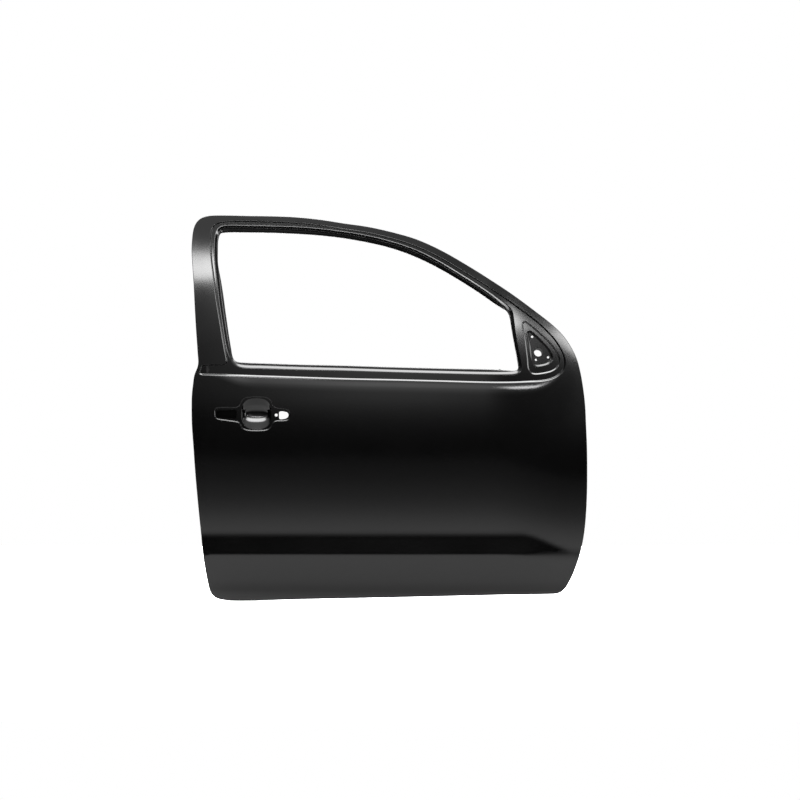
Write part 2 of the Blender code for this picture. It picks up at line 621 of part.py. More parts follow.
def make_outer_skin():
    """The stamped outer panel, hemmed, with its recesses and holes."""
    sheet = Sheet()
    edge = inset(smooth_loop(on_door(OUTLINE_SHARES)), STACK + SHEET / 2)
    flat = inset(edge, HEM_FLAT)
    rim = sheet.level(edge, skin_depth)
    inner_rim = sheet.level(flat, skin_depth)
    sheet.strip(inner_rim, rim, *hem_rings(sheet, edge))

    crease = smooth_loop(on_door(CREASE_SHARES))
    ring = sheet.level(crease, skin_depth)
    floor = sheet.level(inset(crease, RECESS_WALL), recess_depth)
    sheet.strip(ring, floor)

    handle = smooth_loop(on_handle(HANDLE_OUTLINE_SHARES))
    handle_rim = sheet.level(handle, skin_depth)
    pad = sheet.level(inset(handle, PAD_WALL), pad_depth)
    sheet.strip(handle_rim, pad)
    cups = cup_rings(sheet)
    slots = [sheet.level(loop, pad_depth) for loop in handle_slots()]
    sheet.fill(pad, [cups[0], *slots], pad_depth)

    ridge = [(u, RIDGE_HEIGHT) for u in ridge_places(flat, RIDGE_HEIGHT)]
    band = [(u, BAND_TOP - BAND_TOP_DROP * ease(u, BAND_DROP_START, BAND_DROP_RUN))
            for u in ridge_places(flat, BAND_TOP)]
    sheet.fill(inner_rim, [ring, handle_rim], skin_depth, creases=(ridge, band))

    window = smooth_loop(on_door(WINDOW_SHARES))
    ledge = sheet.level(window, recess_depth)
    turned = sheet.level(inset(window, LEDGE_RADIUS),
                         lambda u, w: recess_depth(u, w) + LEDGE_RADIUS)
    foot = inset(window, FOOT_START, 2, 1 - window[:, 2])
    reach = SILL_RISE + (FOOT_END - SILL_RISE) * window[:, 2]
    tip = inset(window, np.minimum(reach, window[:, 3] * LIP_WIDTH), 3, 1 - window[:, 2])
    start = sheet.ring([(p[0], foot_depth(p[0], p[1], p[2]), p[1]) for p in foot])
    end = sheet.ring([(p[0], foot_depth(p[0], p[1], p[2]), p[1]) for p in tip])
    sheet.strip(ledge, turned, start, end)

    seat, _, _ = sail_plane()
    outer_step = smooth_loop(on_door(SAIL_OUTER_SHARES))
    top = sheet.level(outer_step, recess_depth)
    low = sheet.level(inset(outer_step, SAIL_STEP_WALL),
                      lambda u, w: recess_depth(u, w) + SAIL_STEP)
    sheet.strip(top, low)
    inner_step = smooth_loop(on_door(SAIL_INNER_SHARES))
    lip = sheet.level(inner_step, lambda u, w: recess_depth(u, w) + SAIL_STEP)
    plate = sheet.level(inset(inner_step, SAIL_STEP_WALL), seat)
    sheet.strip(lip, plate)
    sheet.fill(low, [lip], lambda u, w: recess_depth(u, w) + SAIL_STEP)
    holes = [sheet.level(loop, seat) for loop in mirror_holes(0, 0)]
    sheet.fill(plate, holes, seat)
    sheet.fill(floor, [ledge, top], recess_depth)
    return pressed("outer_skin", sheet)


def ridge_places(rim, height, clear=LONGEST_EDGE / 2):
    """Places along the door for a crease line, clear of the rim."""
    us = [p[0] for p in rim if abs(p[1] - height) < LONGEST_EDGE]
    low, high = min(us) + clear, max(us) - clear
    count = int((high - low) / FILL_SPACING) + 1
    return [low + (high - low) * i / count for i in range(count + 1)]


def pad_depth(u, w):
    """Floor of the handle recess beside the cup."""
    return skin_depth(u, w) + PAD_DEPTH


def cup_rings(sheet):
    """The finger cup behind the handle, from its rim to its floor."""
    centre = (HANDLE_SHARE[0] * DOOR_LENGTH, HANDLE_SHARE[1] * DOOR_HEIGHT)
    rings = []
    for width_share, depth_share in ((1, 0), (0.97, 0.25), (0.87, 0.72), (0.72, 0.93), (0.5, 1)):
        plan = round_loop(centre, CUP_WIDTH * width_share, CUP_HEIGHT * width_share, 24, 3.0)
        rings.append(sheet.level(plan, lambda u, w: pad_depth(u, w)
                                 + (CUP_DEPTH - PAD_DEPTH) * depth_share))
    sheet.strip(*rings)
    sheet.fill(rings[-1], [], lambda u, w: skin_depth(u, w) + CUP_DEPTH)
    return rings


def handle_slots():
    """Plan loops of the holes beside the cup."""
    lock = on_handle((LOCK_SHARE,))[0]
    return [smooth_loop(on_handle(REAR_SLOT_SHARES)),
            smooth_loop(on_handle(FRONT_SLOT_SHARES)),
            round_loop(lock, LOCK_HOLE, LOCK_HOLE, 12)]


def mirror_holes(shift_u, shift_w):
    """Plan loops of the mirror's holes, with the large one shifted."""
    seat = (MIRROR_SEAT_SHARE[0] * DOOR_LENGTH + shift_u,
            MIRROR_SEAT_SHARE[1] * DOOR_HEIGHT + shift_w)
    loops = [round_loop(seat, MIRROR_SEAT_HOLE, MIRROR_SEAT_HOLE, 20)]
    for place in on_door(MIRROR_BOLT_SHARES):
        loops.append(round_loop(place, MIRROR_BOLT_HOLE, MIRROR_BOLT_HOLE, 10))
    return loops


def hinge_face():
    """Place of the flat front wall of the inner panel."""
    return DOOR_LENGTH - HINGE_FACE_INSET


def inner_walls(edge):
    """Plan loops and depths of the inner panel's rim, from the hem to its face."""
    body = np.array([1 - ease(p[1], BELT_HEIGHT - BELT_BLEND, BELT_BLEND) for p in edge])
    loops = []
    for body_inset, frame_inset in WALL_INSETS:
        distance = frame_inset + (body_inset - frame_inset) * body
        rounds = 1 if body_inset == HEM_FLAT else 12
        loop = inset(edge, distance, rounds, body)
        loops.append(loop)
    for loop, more in zip(loops[2:], (0, 0, WALL_ROUND)):
        rear = (LATCH_FACE_INSET + more) * body
        front = DOOR_LENGTH - (HINGE_FACE_INSET + more) * body
        loop[:, 0] = np.clip(loop[:, 0], rear, front)
    return loops, body


def rim_depths(loops, body):
    """Depth of each rim loop's points."""
    depths = []
    for k, loop in enumerate(loops):
        row = []
        for (u, w), share in zip(loop[:, :2], body):
            skin, face = skin_depth(u, w), inner_depth(u, w)
            shallow = FRAME_DEPTH / 3
            row.append({0: skin + STACK,
                        1: skin + shallow + (HEM_FLAT - shallow / 2) * share,
                        2: skin + shallow * 1.25 + HEM_FLAT * share,
                        3: face - BEAD_RISE + SHEET,
                        4: face}[k])
        depths.append(row)
    return depths


def make_inner_panel():
    """The deep-drawn inner panel with its flange, walls, face and openings."""
    sheet = Sheet()
    edge = inset(smooth_loop(on_door(OUTLINE_SHARES)), STACK + SHEET / 2)
    loops, body = inner_walls(edge)
    rings = []
    for k, (loop, row) in enumerate(zip(loops, rim_depths(loops, body))):
        if k:
            rings.append(sheet.ring([(p[0], d, p[1]) for p, d in zip(loop, row)]))
            continue
        for plan in (inset(edge, SHEET), loop):
            rings.append(sheet.ring(
                [Vector((p[0], skin_depth(p[0], p[1]), p[1]))
                 + inboard_normal(p[0], p[1]) * STACK for p in plan]))
    face_rim = sheet.strip(*rings)

    window = smooth_loop(on_door(WINDOW_SHARES))
    lip = window[:, 3] * LIP_WIDTH
    near = sheet.level(inset(window, LEDGE_RADIUS), inner_depth)
    middle = sheet.level(inset(window, lip * LIP_WELD_SHARE, 4), inner_depth)
    end = inset(window, lip, 4)
    far = sheet.level(end, inner_depth)
    turned = sheet.level(end, raised(LIP_TURN))
    sheet.strip(near, middle, far, turned)

    holes = [near]
    for shares in (REAR_ACCESS_SHARES, FRONT_ACCESS_SHARES):
        plan = smooth_loop(on_door(shares))
        rings = sheet.pocket(plan, ((0, inner_depth), (ACCESS_RIM / 2, raised(RIM_RISE)),
                                    (ACCESS_RIM, raised(RIM_RISE))))
        holes.append(rings[0])
    centre = on_door((SPEAKER_SHARE,))[0]
    outer = SPEAKER_HOLE + 2 * SPEAKER_RIM
    rings = sheet.pocket(round_loop(centre, outer, outer, 28),
                         ((0, inner_depth), (SPEAKER_RIM / 3, raised(-RIM_RISE)),
                          (SPEAKER_RIM, raised(-RIM_RISE))))
    holes.append(rings[0])
    holes.append(sheet.level(smooth_loop(on_door(SAIL_ACCESS_SHARES)), inner_depth))
    for shares in BEAD_SHARES:
        plan = smooth_loop(on_door(shares))
        rings = sheet.pocket(plan, ((0, inner_depth), (BEAD_WALL, raised(-BEAD_RISE))))
        sheet.fill(rings[-1], [], raised(-BEAD_RISE))
        holes.append(rings[0])
    creases = []
    for height in (SHELF_FOOT_HEIGHT, SHELF_HEAD_HEIGHT):
        places = ridge_places(loops[-1], height, BELT_BLEND)
        creases.append([(u, height) for u in places])
    sheet.fill(face_rim, holes, inner_depth, creases=creases)
    panel = pressed("inner_panel", sheet)
    cut(panel, "inner_panel_cutters", wall_cutters())
    return panel


def raised(rise):
    """Depth function of the inner face moved inboard by a rise."""
    return lambda u, w: inner_depth(u, w) + rise


def wall_hole(bm, place, size, along):
    """Cutter through a wall: a rod where one size is given, else a block."""
    if len(size) == 1:
        turn = Matrix.Rotation(math.pi / 2, 4, "Y") if along == "u" else Matrix()
        bmesh.ops.create_cone(bm, cap_ends=True, segments=14, radius1=size[0] / 2,
                              radius2=size[0] / 2, depth=CUT_DEPTH,
                              matrix=Matrix.Translation(place) @ turn)
        return
    full = (CUT_DEPTH, *size) if along == "u" else (*size, CUT_DEPTH)
    bmesh.ops.create_cube(bm, size=1, matrix=Matrix.Translation(place)
                          @ Matrix.Diagonal((*full, 1)))


def wall_cutters():
    """Cutters for the hinge bolts, the check strap, the latch and the drains."""
    bm = bmesh.new()
    for height in (UPPER_HINGE_HEIGHT, LOWER_HINGE_HEIGHT):
        for side in (-1, 1):
            wall_hole(bm, (hinge_face(), HINGE_DEPTH, height + side * HINGE_BOLT_PITCH / 2),
                      (HINGE_BOLT_HOLE,), "u")
    wall_hole(bm, (hinge_face(), HINGE_DEPTH, CHECK_HEIGHT),
              (CHECK_SLOT_WIDTH, CHECK_SLOT_HEIGHT), "u")
    for side in (-1, 1):
        wall_hole(bm, (hinge_face(), HINGE_DEPTH, CHECK_HEIGHT + side * CHECK_BOLT_PITCH / 2),
                  (CHECK_BOLT_HOLE,), "u")
        wall_hole(bm, (LATCH_FACE_INSET, LATCH_DEPTH,
                       LATCH_HEIGHT + side * LATCH_SCREW_PITCH / 2), (LATCH_SCREW_HOLE,), "u")
    wall_hole(bm, (LATCH_FACE_INSET, LATCH_DEPTH, LATCH_HEIGHT),
              (LATCH_SLOT_WIDTH, LATCH_SLOT_HEIGHT), "u")
    for share in DRAIN_SHARES:
        wall_hole(bm, (share * DOOR_LENGTH, DRAIN_DEPTH, RIM_HEIGHT),
                  (DRAIN_LENGTH, DRAIN_WIDTH), "w")
    return bm


def cut(obj, name, bm):
    """Take the cutters out of a piece."""
    mesh = bpy.data.meshes.new(name)
    bm.to_mesh(mesh)
    bm.free()
    cutter = bpy.data.objects.new(name, mesh)
    CUTTERS.objects.link(cutter)
    cutter.parent = CARRIER
    cutter.hide_render = True
    cutter.display_type = "WIRE"
    knife = obj.modifiers.new("holes", "BOOLEAN")
    knife.operation = "DIFFERENCE"
    knife.object = cutter


def flat_plate(name, loops, thickness, place, turn, colour=STEEL):
    """Flat plate from an outline and its holes, as a filled plane curve."""
    curve = bpy.data.curves.new(name, "CURVE")
    curve.dimensions = "2D"
    curve.fill_mode = "BOTH"
    curve.extrude = thickness / 2
    for loop in loops:
        spline = curve.splines.new("POLY")
        spline.points.add(len(loop) - 1)
        for point, (x, y) in zip(spline.points, loop):
            point.co = (x, y, 0, 1)
        spline.use_cyclic_u = True
    plate = add(name, curve, colour)
    plate.location = place
    plate.rotation_euler = turn
    return plate


def rounded(width, height, corner):
    """Plan loop of a rectangle with rounded corners, about nought."""
    pts = []
    for k, (sx, sy) in enumerate(((1, 1), (-1, 1), (-1, -1), (1, -1))):
        for step in range(3):
            angle = math.pi / 2 * (k + step / 2)
            pts.append((sx * (width / 2 - corner) + corner * math.cos(angle),
                        sy * (height / 2 - corner) + corner * math.sin(angle)))
    return pts


def make_wall_plates():
    """Plates behind the hinges, the door check and the latch."""
    front = hinge_face() - SHEET / 2 - GAP
    for name, height in (("upper_hinge", UPPER_HINGE_HEIGHT), ("lower_hinge", LOWER_HINGE_HEIGHT)):
        bolts = [(0, side * HINGE_BOLT_PITCH / 2) for side in (-1, 1)]
        outline = rounded(HINGE_PLATE_WIDTH, HINGE_PLATE_HEIGHT, HINGE_PLATE_CORNER)
        holes = [round_loop(b, HINGE_BOLT_HOLE, HINGE_BOLT_HOLE, 14) for b in bolts]
        flat_plate(name + "_reinforcement", [outline, *holes], HINGE_PLATE,
                   (front - HINGE_PLATE / 2, HINGE_DEPTH, height), ON_WALL)
        outline = rounded(NUT_PLATE_WIDTH, NUT_PLATE_HEIGHT, HINGE_PLATE_CORNER / 2)
        holes = [round_loop(b, NUT_HOLE, NUT_HOLE, 14) for b in bolts]
        flat_plate(name + "_nut_plate", [outline, *holes], NUT_PLATE,
                   (front - HINGE_PLATE - GAP - NUT_PLATE / 2, HINGE_DEPTH, height), ON_WALL)
    holes = [rounded(CHECK_SLOT_WIDTH, CHECK_SLOT_HEIGHT, CHECK_PLATE * 2)]
    holes += [round_loop((0, side * CHECK_BOLT_PITCH / 2), CHECK_BOLT_HOLE, CHECK_BOLT_HOLE, 12)
              for side in (-1, 1)]
    flat_plate("door_check_reinforcement",
               [rounded(CHECK_PLATE_WIDTH, CHECK_PLATE_HEIGHT, HINGE_PLATE_CORNER), *holes],
               CHECK_PLATE, (front - CHECK_PLATE / 2, HINGE_DEPTH, CHECK_HEIGHT), ON_WALL)
    rear = LATCH_FACE_INSET + SHEET / 2 + GAP + LATCH_PLATE / 2
    holes = [rounded(LATCH_SLOT_WIDTH, LATCH_SLOT_HEIGHT, LATCH_PLATE * 2)]
    holes += [round_loop((0, side * LATCH_SCREW_PITCH / 2), LATCH_SCREW_HOLE,
                         LATCH_SCREW_HOLE, 12) for side in (-1, 1)]
    flat_plate("latch_reinforcement",
               [rounded(LATCH_PLATE_WIDTH, LATCH_PLATE_HEIGHT, HINGE_PLATE_CORNER), *holes],
               LATCH_PLATE, (rear, LATCH_DEPTH, LATCH_HEIGHT), ON_WALL)


def beam_height(u):
    """Height of the impact tube's axis at a place along the door."""
    low, high = BEAM_END_INSET, DOOR_LENGTH - BEAM_END_INSET
    return BEAM_REAR_HEIGHT + (BEAM_FRONT_HEIGHT - BEAM_REAR_HEIGHT) * (u - low) / (high - low)


def beam_depth(u):
    """Depth of the impact tube's axis, which follows the skin."""
    return skin_depth(u, beam_height(u)) + SHEET / 2 + BEAM_GAP + BEAM_DIAMETER / 2


def make_impact_beam():
    """The tube and the two brackets that carry it on the end walls."""
    curve = bpy.data.curves.new("impact_beam", "CURVE")
    curve.dimensions = "3D"
    curve.bevel_depth = BEAM_DIAMETER / 2
    curve.bevel_resolution = 3
    curve.use_fill_caps = True
    spline = curve.splines.new("POLY")
    places = np.linspace(BEAM_END_INSET, DOOR_LENGTH - BEAM_END_INSET, 11)
    spline.points.add(len(places) - 1)
    for point, u in zip(spline.points, places):
        point.co = (u, beam_depth(u), beam_height(u), 1)
    add("impact_beam", curve, STEEL)
    reach = BEAM_DIAMETER / 2 + GAP + BRACKET_SHEET / 2
    for name, wall, way in (("front", hinge_face() - SHEET / 2 - GAP - BRACKET_SHEET / 2, -1),
                            ("rear", LATCH_FACE_INSET + SHEET / 2 + GAP + BRACKET_SHEET / 2, 1)):
        arm = [wall + way * BRACKET_ARM * k / 4 for k in range(5)]
        line = [(wall, beam_depth(wall) + reach + BRACKET_FOOT)]
        line += [(u, beam_depth(u) + reach) for u in arm]
        centre = beam_height(arm[2])
        sheet = Sheet()
        rings = [sheet.ring([(u, v, centre + side * BRACKET_HEIGHT / 2) for u, v in line])
                 for side in (-1, 1)]
        sheet.strip(*rings, closed=False)
        pressed("impact_beam_%s_bracket" % name, sheet, BRACKET_SHEET, STEEL)


def sill_line(count):
    """Places and heights along the skin's edge at the window sill."""
    window = smooth_loop(on_door(WINDOW_SHARES))
    sill = sorted((p[0], p[1]) for p in window if p[1] < SILL_TOP_SHARE * DOOR_HEIGHT)
    us = np.linspace(BELT_START_SHARE * DOOR_LENGTH, BELT_END_SHARE * DOOR_LENGTH, count)
    return us, np.interp(us, [p[0] for p in sill], [p[1] for p in sill])


def make_belt_reinforcements():
    """Pressed strips along the sill, behind the skin and on the inner panel."""
    us, heights = sill_line(12)
    seat = SHEET / 2 + GAP + BELT_STRIP_SHEET / 2
    low = BELT_STRIP_TOP + BELT_STRIP_SLOPE
    outer = ((FOOT_START, 0), (BELT_STRIP_TOP, 0), (low, BELT_STRIP_RISE),
             (low + BELT_STRIP_WEB, BELT_STRIP_RISE))
    sheet = Sheet()
    rings = [sheet.ring([(u, recess_depth(u, h) + seat + rise, h - drop)
                         for drop, rise in outer]) for u, h in zip(us, heights)]
    sheet.strip(*rings, closed=False)
    pressed("outer_belt_reinforcement", sheet, BELT_STRIP_SHEET, STEEL)
    marks = [-FOOT_START, INNER_STRIP_FLANGE - FOOT_START]
    marks += [marks[-1] + BELT_STRIP_SLOPE, marks[-1] + BELT_STRIP_SLOPE + INNER_STRIP_WEB]
    marks += [marks[-1] + BELT_STRIP_SLOPE,
              marks[-1] + BELT_STRIP_SLOPE + INNER_STRIP_FLANGE]
    rises = (0, 0, INNER_STRIP_RISE, INNER_STRIP_RISE, 0, 0)
    sheet = Sheet()
    rings = [sheet.ring([(u, inner_depth(u, h - drop) - seat - rise, h - drop)
                         for drop, rise in zip(marks, rises)]) for u, h in zip(us, heights)]
    sheet.strip(*rings, closed=False)
    pressed("inner_belt_reinforcement", sheet, BELT_STRIP_SHEET, STEEL)


def make_mirror_parts():
    """The second layer behind the mirror's seat and its weld nuts."""
    seat, along, up = sail_plane()
    behind = SHEET / 2 + GAP + MIRROR_PLATE / 2
    sheet = Sheet()
    plan = inset(smooth_loop(on_door(SAIL_INNER_SHARES)),
                 SAIL_STEP_WALL + MIRROR_PLATE_MARGIN)

    def depth(u, w):
        return seat(u, w) + behind
    holes = [sheet.level(p, depth) for p in mirror_holes(MIRROR_HOLE_SHIFT_U, MIRROR_HOLE_SHIFT_W)]
    sheet.fill(sheet.level(plan, depth), holes, depth)
    pressed("mirror_reinforcement", sheet, MIRROR_PLATE, STEEL)
    normal = Vector((-along, 1, -up)).normalized()
    turn = normal.to_track_quat("Z", "Y").to_euler()
    reach = MIRROR_PLATE / 2 + GAP + WELD_NUT_HEIGHT / 2
    for label, (u, w) in zip(("top", "front", "rear"), on_door(MIRROR_BOLT_SHARES)):
        loops = [round_loop((0, 0), WELD_NUT_DIAMETER, WELD_NUT_DIAMETER, 16),
                 round_loop((0, 0), MIRROR_BOLT_HOLE, MIRROR_BOLT_HOLE, 10)]
        flat_plate("mirror_weld_nut_" + label, loops, WELD_NUT_HEIGHT,
                   Vector((u, depth(u, w), w)) + normal * reach, turn)


def channel_lines():
    """For each glass channel: its web's place and outer leg's depth against height."""
    heights = (CHANNEL_FOOT_HEIGHT, BELT_HEIGHT - CHANNEL_TOP_DROP)
    top_u, top_w = on_door((DIVISION_TOP_SHARE,))[0]
    low_u, low_w = on_door((DIVISION_SILL_SHARE,))[0]
    slope = (low_u - top_u) / (low_w - top_w)

    def front(w):
        return low_u + slope * (w - low_w) - SHEET

    def rear(w):
        u, base = on_door((REAR_CHANNEL_SHARE,))[0]
        return u + slope * (w - base)
    return front, rear, heights, top_w


def channel_depth(u, w):
    """Depth of a glass channel's outer leg."""
    at = max(w, BELT_HEIGHT)
    behind = SHEET / 2 + GAP + CHANNEL_SHEET / 2
    belt = recess_depth(u, at) + SILL_FLANGE + behind
    return belt + CHANNEL_LEAN * max(BELT_HEIGHT - w, 0) / (BELT_HEIGHT - CHANNEL_FOOT_HEIGHT)


def make_channels():
    """The front division channel, the lower rear channel and their brackets."""
    front, rear, heights, top_w = channel_lines()
    spans = (("front_division_channel", front, top_w - DIVISION_TOP_DROP, -1, "front"),
             ("rear_run_channel", rear, heights[1], 1, "rear"))
    for name, line, top, way, label in spans:
        sheet = Sheet()
        rings = []
        for w in np.linspace(CHANNEL_FOOT_HEIGHT, top, 9):
            u = line(w)
            near = channel_depth(u, w)
            far = near + CHANNEL_WIDTH
            rings.append(sheet.ring([(u + way * CHANNEL_LEG, near, w), (u, near, w),
                                     (u, far, w), (u + way * CHANNEL_LEG, far, w)]))
        sheet.strip(*rings, closed=False)
        pressed(name, sheet, CHANNEL_SHEET, STEEL)
        behind = CHANNEL_WIDTH + CHANNEL_SHEET / 2 + GAP + BRACKET_SHEET / 2
        foot = TRIM_DEPTH - SHEET / 2 - GAP - BRACKET_SHEET / 2
        sheet = Sheet()
        rings = []
        for w in (CHANNEL_FOOT_HEIGHT, CHANNEL_FOOT_HEIGHT + CHANNEL_BRACKET_WIDTH):
            u = line(w)
            head = channel_depth(u, w) + behind
            knee = u + max(-way, 0) * BRACKET_SHEET
            rings.append(sheet.ring([(u + way * CHANNEL_LEG, head, w), (knee, head, w),
                                     (knee, foot, w), (knee + CHANNEL_BRACKET_FOOT, foot, w)]))
        sheet.strip(*rings, closed=False)
        pressed(label + "_channel_bracket", sheet, BRACKET_SHEET, STEEL)


def make_handle_reinforcement():
    """The doubler behind the pads of the handle recess."""
    behind = SHEET / 2 + GAP + HANDLE_PLATE / 2

    def depth(u, w):
        return pad_depth(u, w) + behind
    centre = (HANDLE_SHARE[0] * DOOR_LENGTH, HANDLE_SHARE[1] * DOOR_HEIGHT)
    room = 2 * (SHEET + behind)
    sheet = Sheet()
    rim = sheet.level(inset(smooth_loop(on_handle(HANDLE_OUTLINE_SHARES)),
                            -HANDLE_PLATE_MARGIN, 3), depth)
    cup = sheet.level(round_loop(centre, CUP_WIDTH + room, CUP_HEIGHT + room, 24, 3.0), depth)
    slots = [sheet.level(loop, depth) for loop in handle_slots()]
    sheet.fill(rim, [cup, *slots], depth)
    pressed("handle_reinforcement", sheet, HANDLE_PLATE, STEEL)


def make_skin_stiffener():
    """The hat strip that backs the middle of the skin."""
    seat = SHEET / 2 + STIFFENER_GAP + STIFFENER_SHEET / 2
    half = STIFFENER_WIDTH / 2
    slope = STIFFENER_RISE / 2
    profile = ((-half, 0), (-half + STIFFENER_LAND, 0),
               (-half + STIFFENER_LAND + slope, STIFFENER_RISE))
    profile += tuple((-x, y) for x, y in reversed(profile))
    sheet = Sheet()
    rings = []
    for u in np.linspace(STIFFENER_SHARES[0] * DOOR_LENGTH, STIFFENER_SHARES[1] * DOOR_LENGTH, 11):
        rings.append(sheet.ring([(u, skin_depth(u, STIFFENER_HEIGHT + x) + seat + y,
                                  STIFFENER_HEIGHT + x) for x, y in profile]))
    sheet.strip(*rings, closed=False)
    pressed("skin_stiffener", sheet, STIFFENER_SHEET, STEEL)


def make_pull_bracket():
    """The hat bracket for the pull handle, on the trim side."""
    seat = TRIM_DEPTH + SHEET / 2 + GAP + PULL_SHEET / 2
    half = PULL_LENGTH / 2
    profile = ((-half, 0), (-half + PULL_FOOT, 0), (-half + PULL_FOOT + PULL_RISE / 3, PULL_RISE))
    profile += tuple((-x, y) for x, y in reversed(profile))
    sheet = Sheet()
    rings = [sheet.ring([(PULL_SHARE * DOOR_LENGTH + side * PULL_WIDTH / 2, seat + y,
                          PULL_HEIGHT + x) for x, y in profile]) for side in (-1, 1)]
    sheet.strip(*rings, closed=False)
    pressed("pull_handle_bracket", sheet, PULL_SHEET, STEEL)


def make_all():
    """Build every piece of the door."""
    make_outer_skin()
    make_inner_panel()
    make_wall_plates()
    make_impact_beam()
    make_belt_reinforcements()
    make_mirror_parts()
    make_channels()
    make_handle_reinforcement()
    make_skin_stiffener()
    make_pull_bracket()


for old in list(bpy.data.objects):
    bpy.data.objects.remove(old)
PARTS = bpy.data.collections.new("pickup_front_door_shell")
CUTTERS = bpy.data.collections.new("cutters")
for group in (PARTS, CUTTERS):
    bpy.context.scene.collection.children.link(group)
CARRIER = bpy.data.objects.new("door_frame_of_reference", None)
CARRIER.location = (-hinge_face() - SHEET / 2, -HINGE_DEPTH, -UPPER_HINGE_HEIGHT)
PARTS.objects.link(CARRIER)
make_all()
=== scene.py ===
"""Looks of a pickup truck's right-hand front door shell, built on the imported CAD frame.

Sizes are in metres. The door's own coordinates are u, forward from the rearmost point of the
outline, v, inboard from the outermost point of the skin, and w, up from the lowest point.
"""

import json
import logging
import math
from dataclasses import dataclass, field
from enum import Enum
from typing import Callable, Iterable, Sequence

import bmesh
import bpy
import numpy as np
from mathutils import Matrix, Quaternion, Vector
from mathutils.geometry import delaunay_2d_cdt

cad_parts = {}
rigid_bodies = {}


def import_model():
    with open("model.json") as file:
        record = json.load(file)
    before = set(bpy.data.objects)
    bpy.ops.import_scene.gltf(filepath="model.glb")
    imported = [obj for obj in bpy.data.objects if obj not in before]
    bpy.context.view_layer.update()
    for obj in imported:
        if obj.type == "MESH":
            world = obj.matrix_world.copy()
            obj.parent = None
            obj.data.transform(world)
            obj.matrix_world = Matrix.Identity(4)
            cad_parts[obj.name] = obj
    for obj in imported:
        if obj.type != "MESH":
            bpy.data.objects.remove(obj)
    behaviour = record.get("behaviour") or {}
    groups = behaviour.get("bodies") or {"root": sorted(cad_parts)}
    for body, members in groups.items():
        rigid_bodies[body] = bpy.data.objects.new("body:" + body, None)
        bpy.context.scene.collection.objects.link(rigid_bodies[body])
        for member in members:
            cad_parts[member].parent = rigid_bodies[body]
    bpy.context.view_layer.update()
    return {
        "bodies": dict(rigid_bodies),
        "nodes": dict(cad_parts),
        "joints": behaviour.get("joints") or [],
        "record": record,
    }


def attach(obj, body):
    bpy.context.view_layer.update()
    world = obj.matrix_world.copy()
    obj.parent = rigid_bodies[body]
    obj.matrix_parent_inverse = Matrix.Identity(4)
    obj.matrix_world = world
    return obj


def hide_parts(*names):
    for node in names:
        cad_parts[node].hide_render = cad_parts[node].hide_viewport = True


Array = np.ndarray
Depth = Callable[[Array, Array], Array]
log = logging.getLogger("door")

BODY = "root"
DOOR_ORIGIN = np.array((1.1244, 0.084, 0.532))
STEP = 0.0006  # Run over which a surface's slope is measured
SHARP_COSINE = 0.72  # A face that leans further from the known normal is shaded flat
KEY_STEPS = 200000  # Steps to a metre when a place is looked up
WINDOW_SPACING = 0.012  # Between the points of the window's coarse outline
WINDOW_SPLITS = 2  # Fine points to each coarse one
CURVE_SAMPLES = 40  # Samples to a stretch before a curve is spaced evenly
LEAST_POINTS = 8  # Fewest points of a loop
CORNER_LIMIT = 0.75  # Bounds how much longer a normal gets at a corner
CUT_LIMIT = 0.48  # Longest cut, as a share of the stretch that it shortens
ROW_SHARE = 0.87  # Distance between the rows of a grid of triangles
CLEAR_SHARE = 0.45  # Room that the points inside leave to a rim
MERGE_DISTANCE = 1e-7
LEAST_APART = 1e-9
LEAST_AREA = 1e-14
TINY = 1e-12

# Outlines as shares of the door's length and height. The window's points also hold whether the
# flange lies on the inner panel, one, or on the sill, nought, and the flange's width as a share.
OUTLINE_SHARES = (
    (0.000, 0.908), (0.001, 0.934), (0.004, 0.962), (0.011, 0.981), (0.024, 0.9935),
    (0.043, 0.999), (0.083, 1.000), (0.144, 0.9987), (0.204, 0.9977), (0.265, 0.995),
    (0.326, 0.9886), (0.386, 0.979), (0.447, 0.970), (0.508, 0.956), (0.568, 0.938),
    (0.629, 0.910), (0.689, 0.875), (0.750, 0.836), (0.811, 0.7945), (0.871, 0.749),
    (0.912, 0.716), (0.937, 0.691), (0.953, 0.669), (0.966, 0.646), (0.975, 0.625),
    (0.983, 0.594), (0.989, 0.560), (0.995, 0.510), (0.9974, 0.458), (1.000, 0.3905),
    (1.000, 0.287), (0.9974, 0.225), (0.9925, 0.173), (0.982, 0.121), (0.965, 0.070),
    (0.952, 0.044), (0.941, 0.0265), (0.927, 0.0185), (0.900, 0.0170), (0.780, 0.015),
    (0.528, 0.009), (0.290, 0.004), (0.121, 0.000), (0.086, 0.0013), (0.060, 0.0078),
    (0.048, 0.0225), (0.0427, 0.044), (0.0376, 0.070), (0.030, 0.121), (0.025, 0.173),
    (0.0174, 0.251), (0.0099, 0.339), (0.006, 0.398), (0.002, 0.458), (0.002, 0.5355),
    (0.005, 0.561), (0.008, 0.5857), (0.0184, 0.6105), (0.0167, 0.636), (0.0149, 0.665),
    (0.0119, 0.706), (0.0083, 0.768), (0.0058, 0.820), (0.0023, 0.872),
)
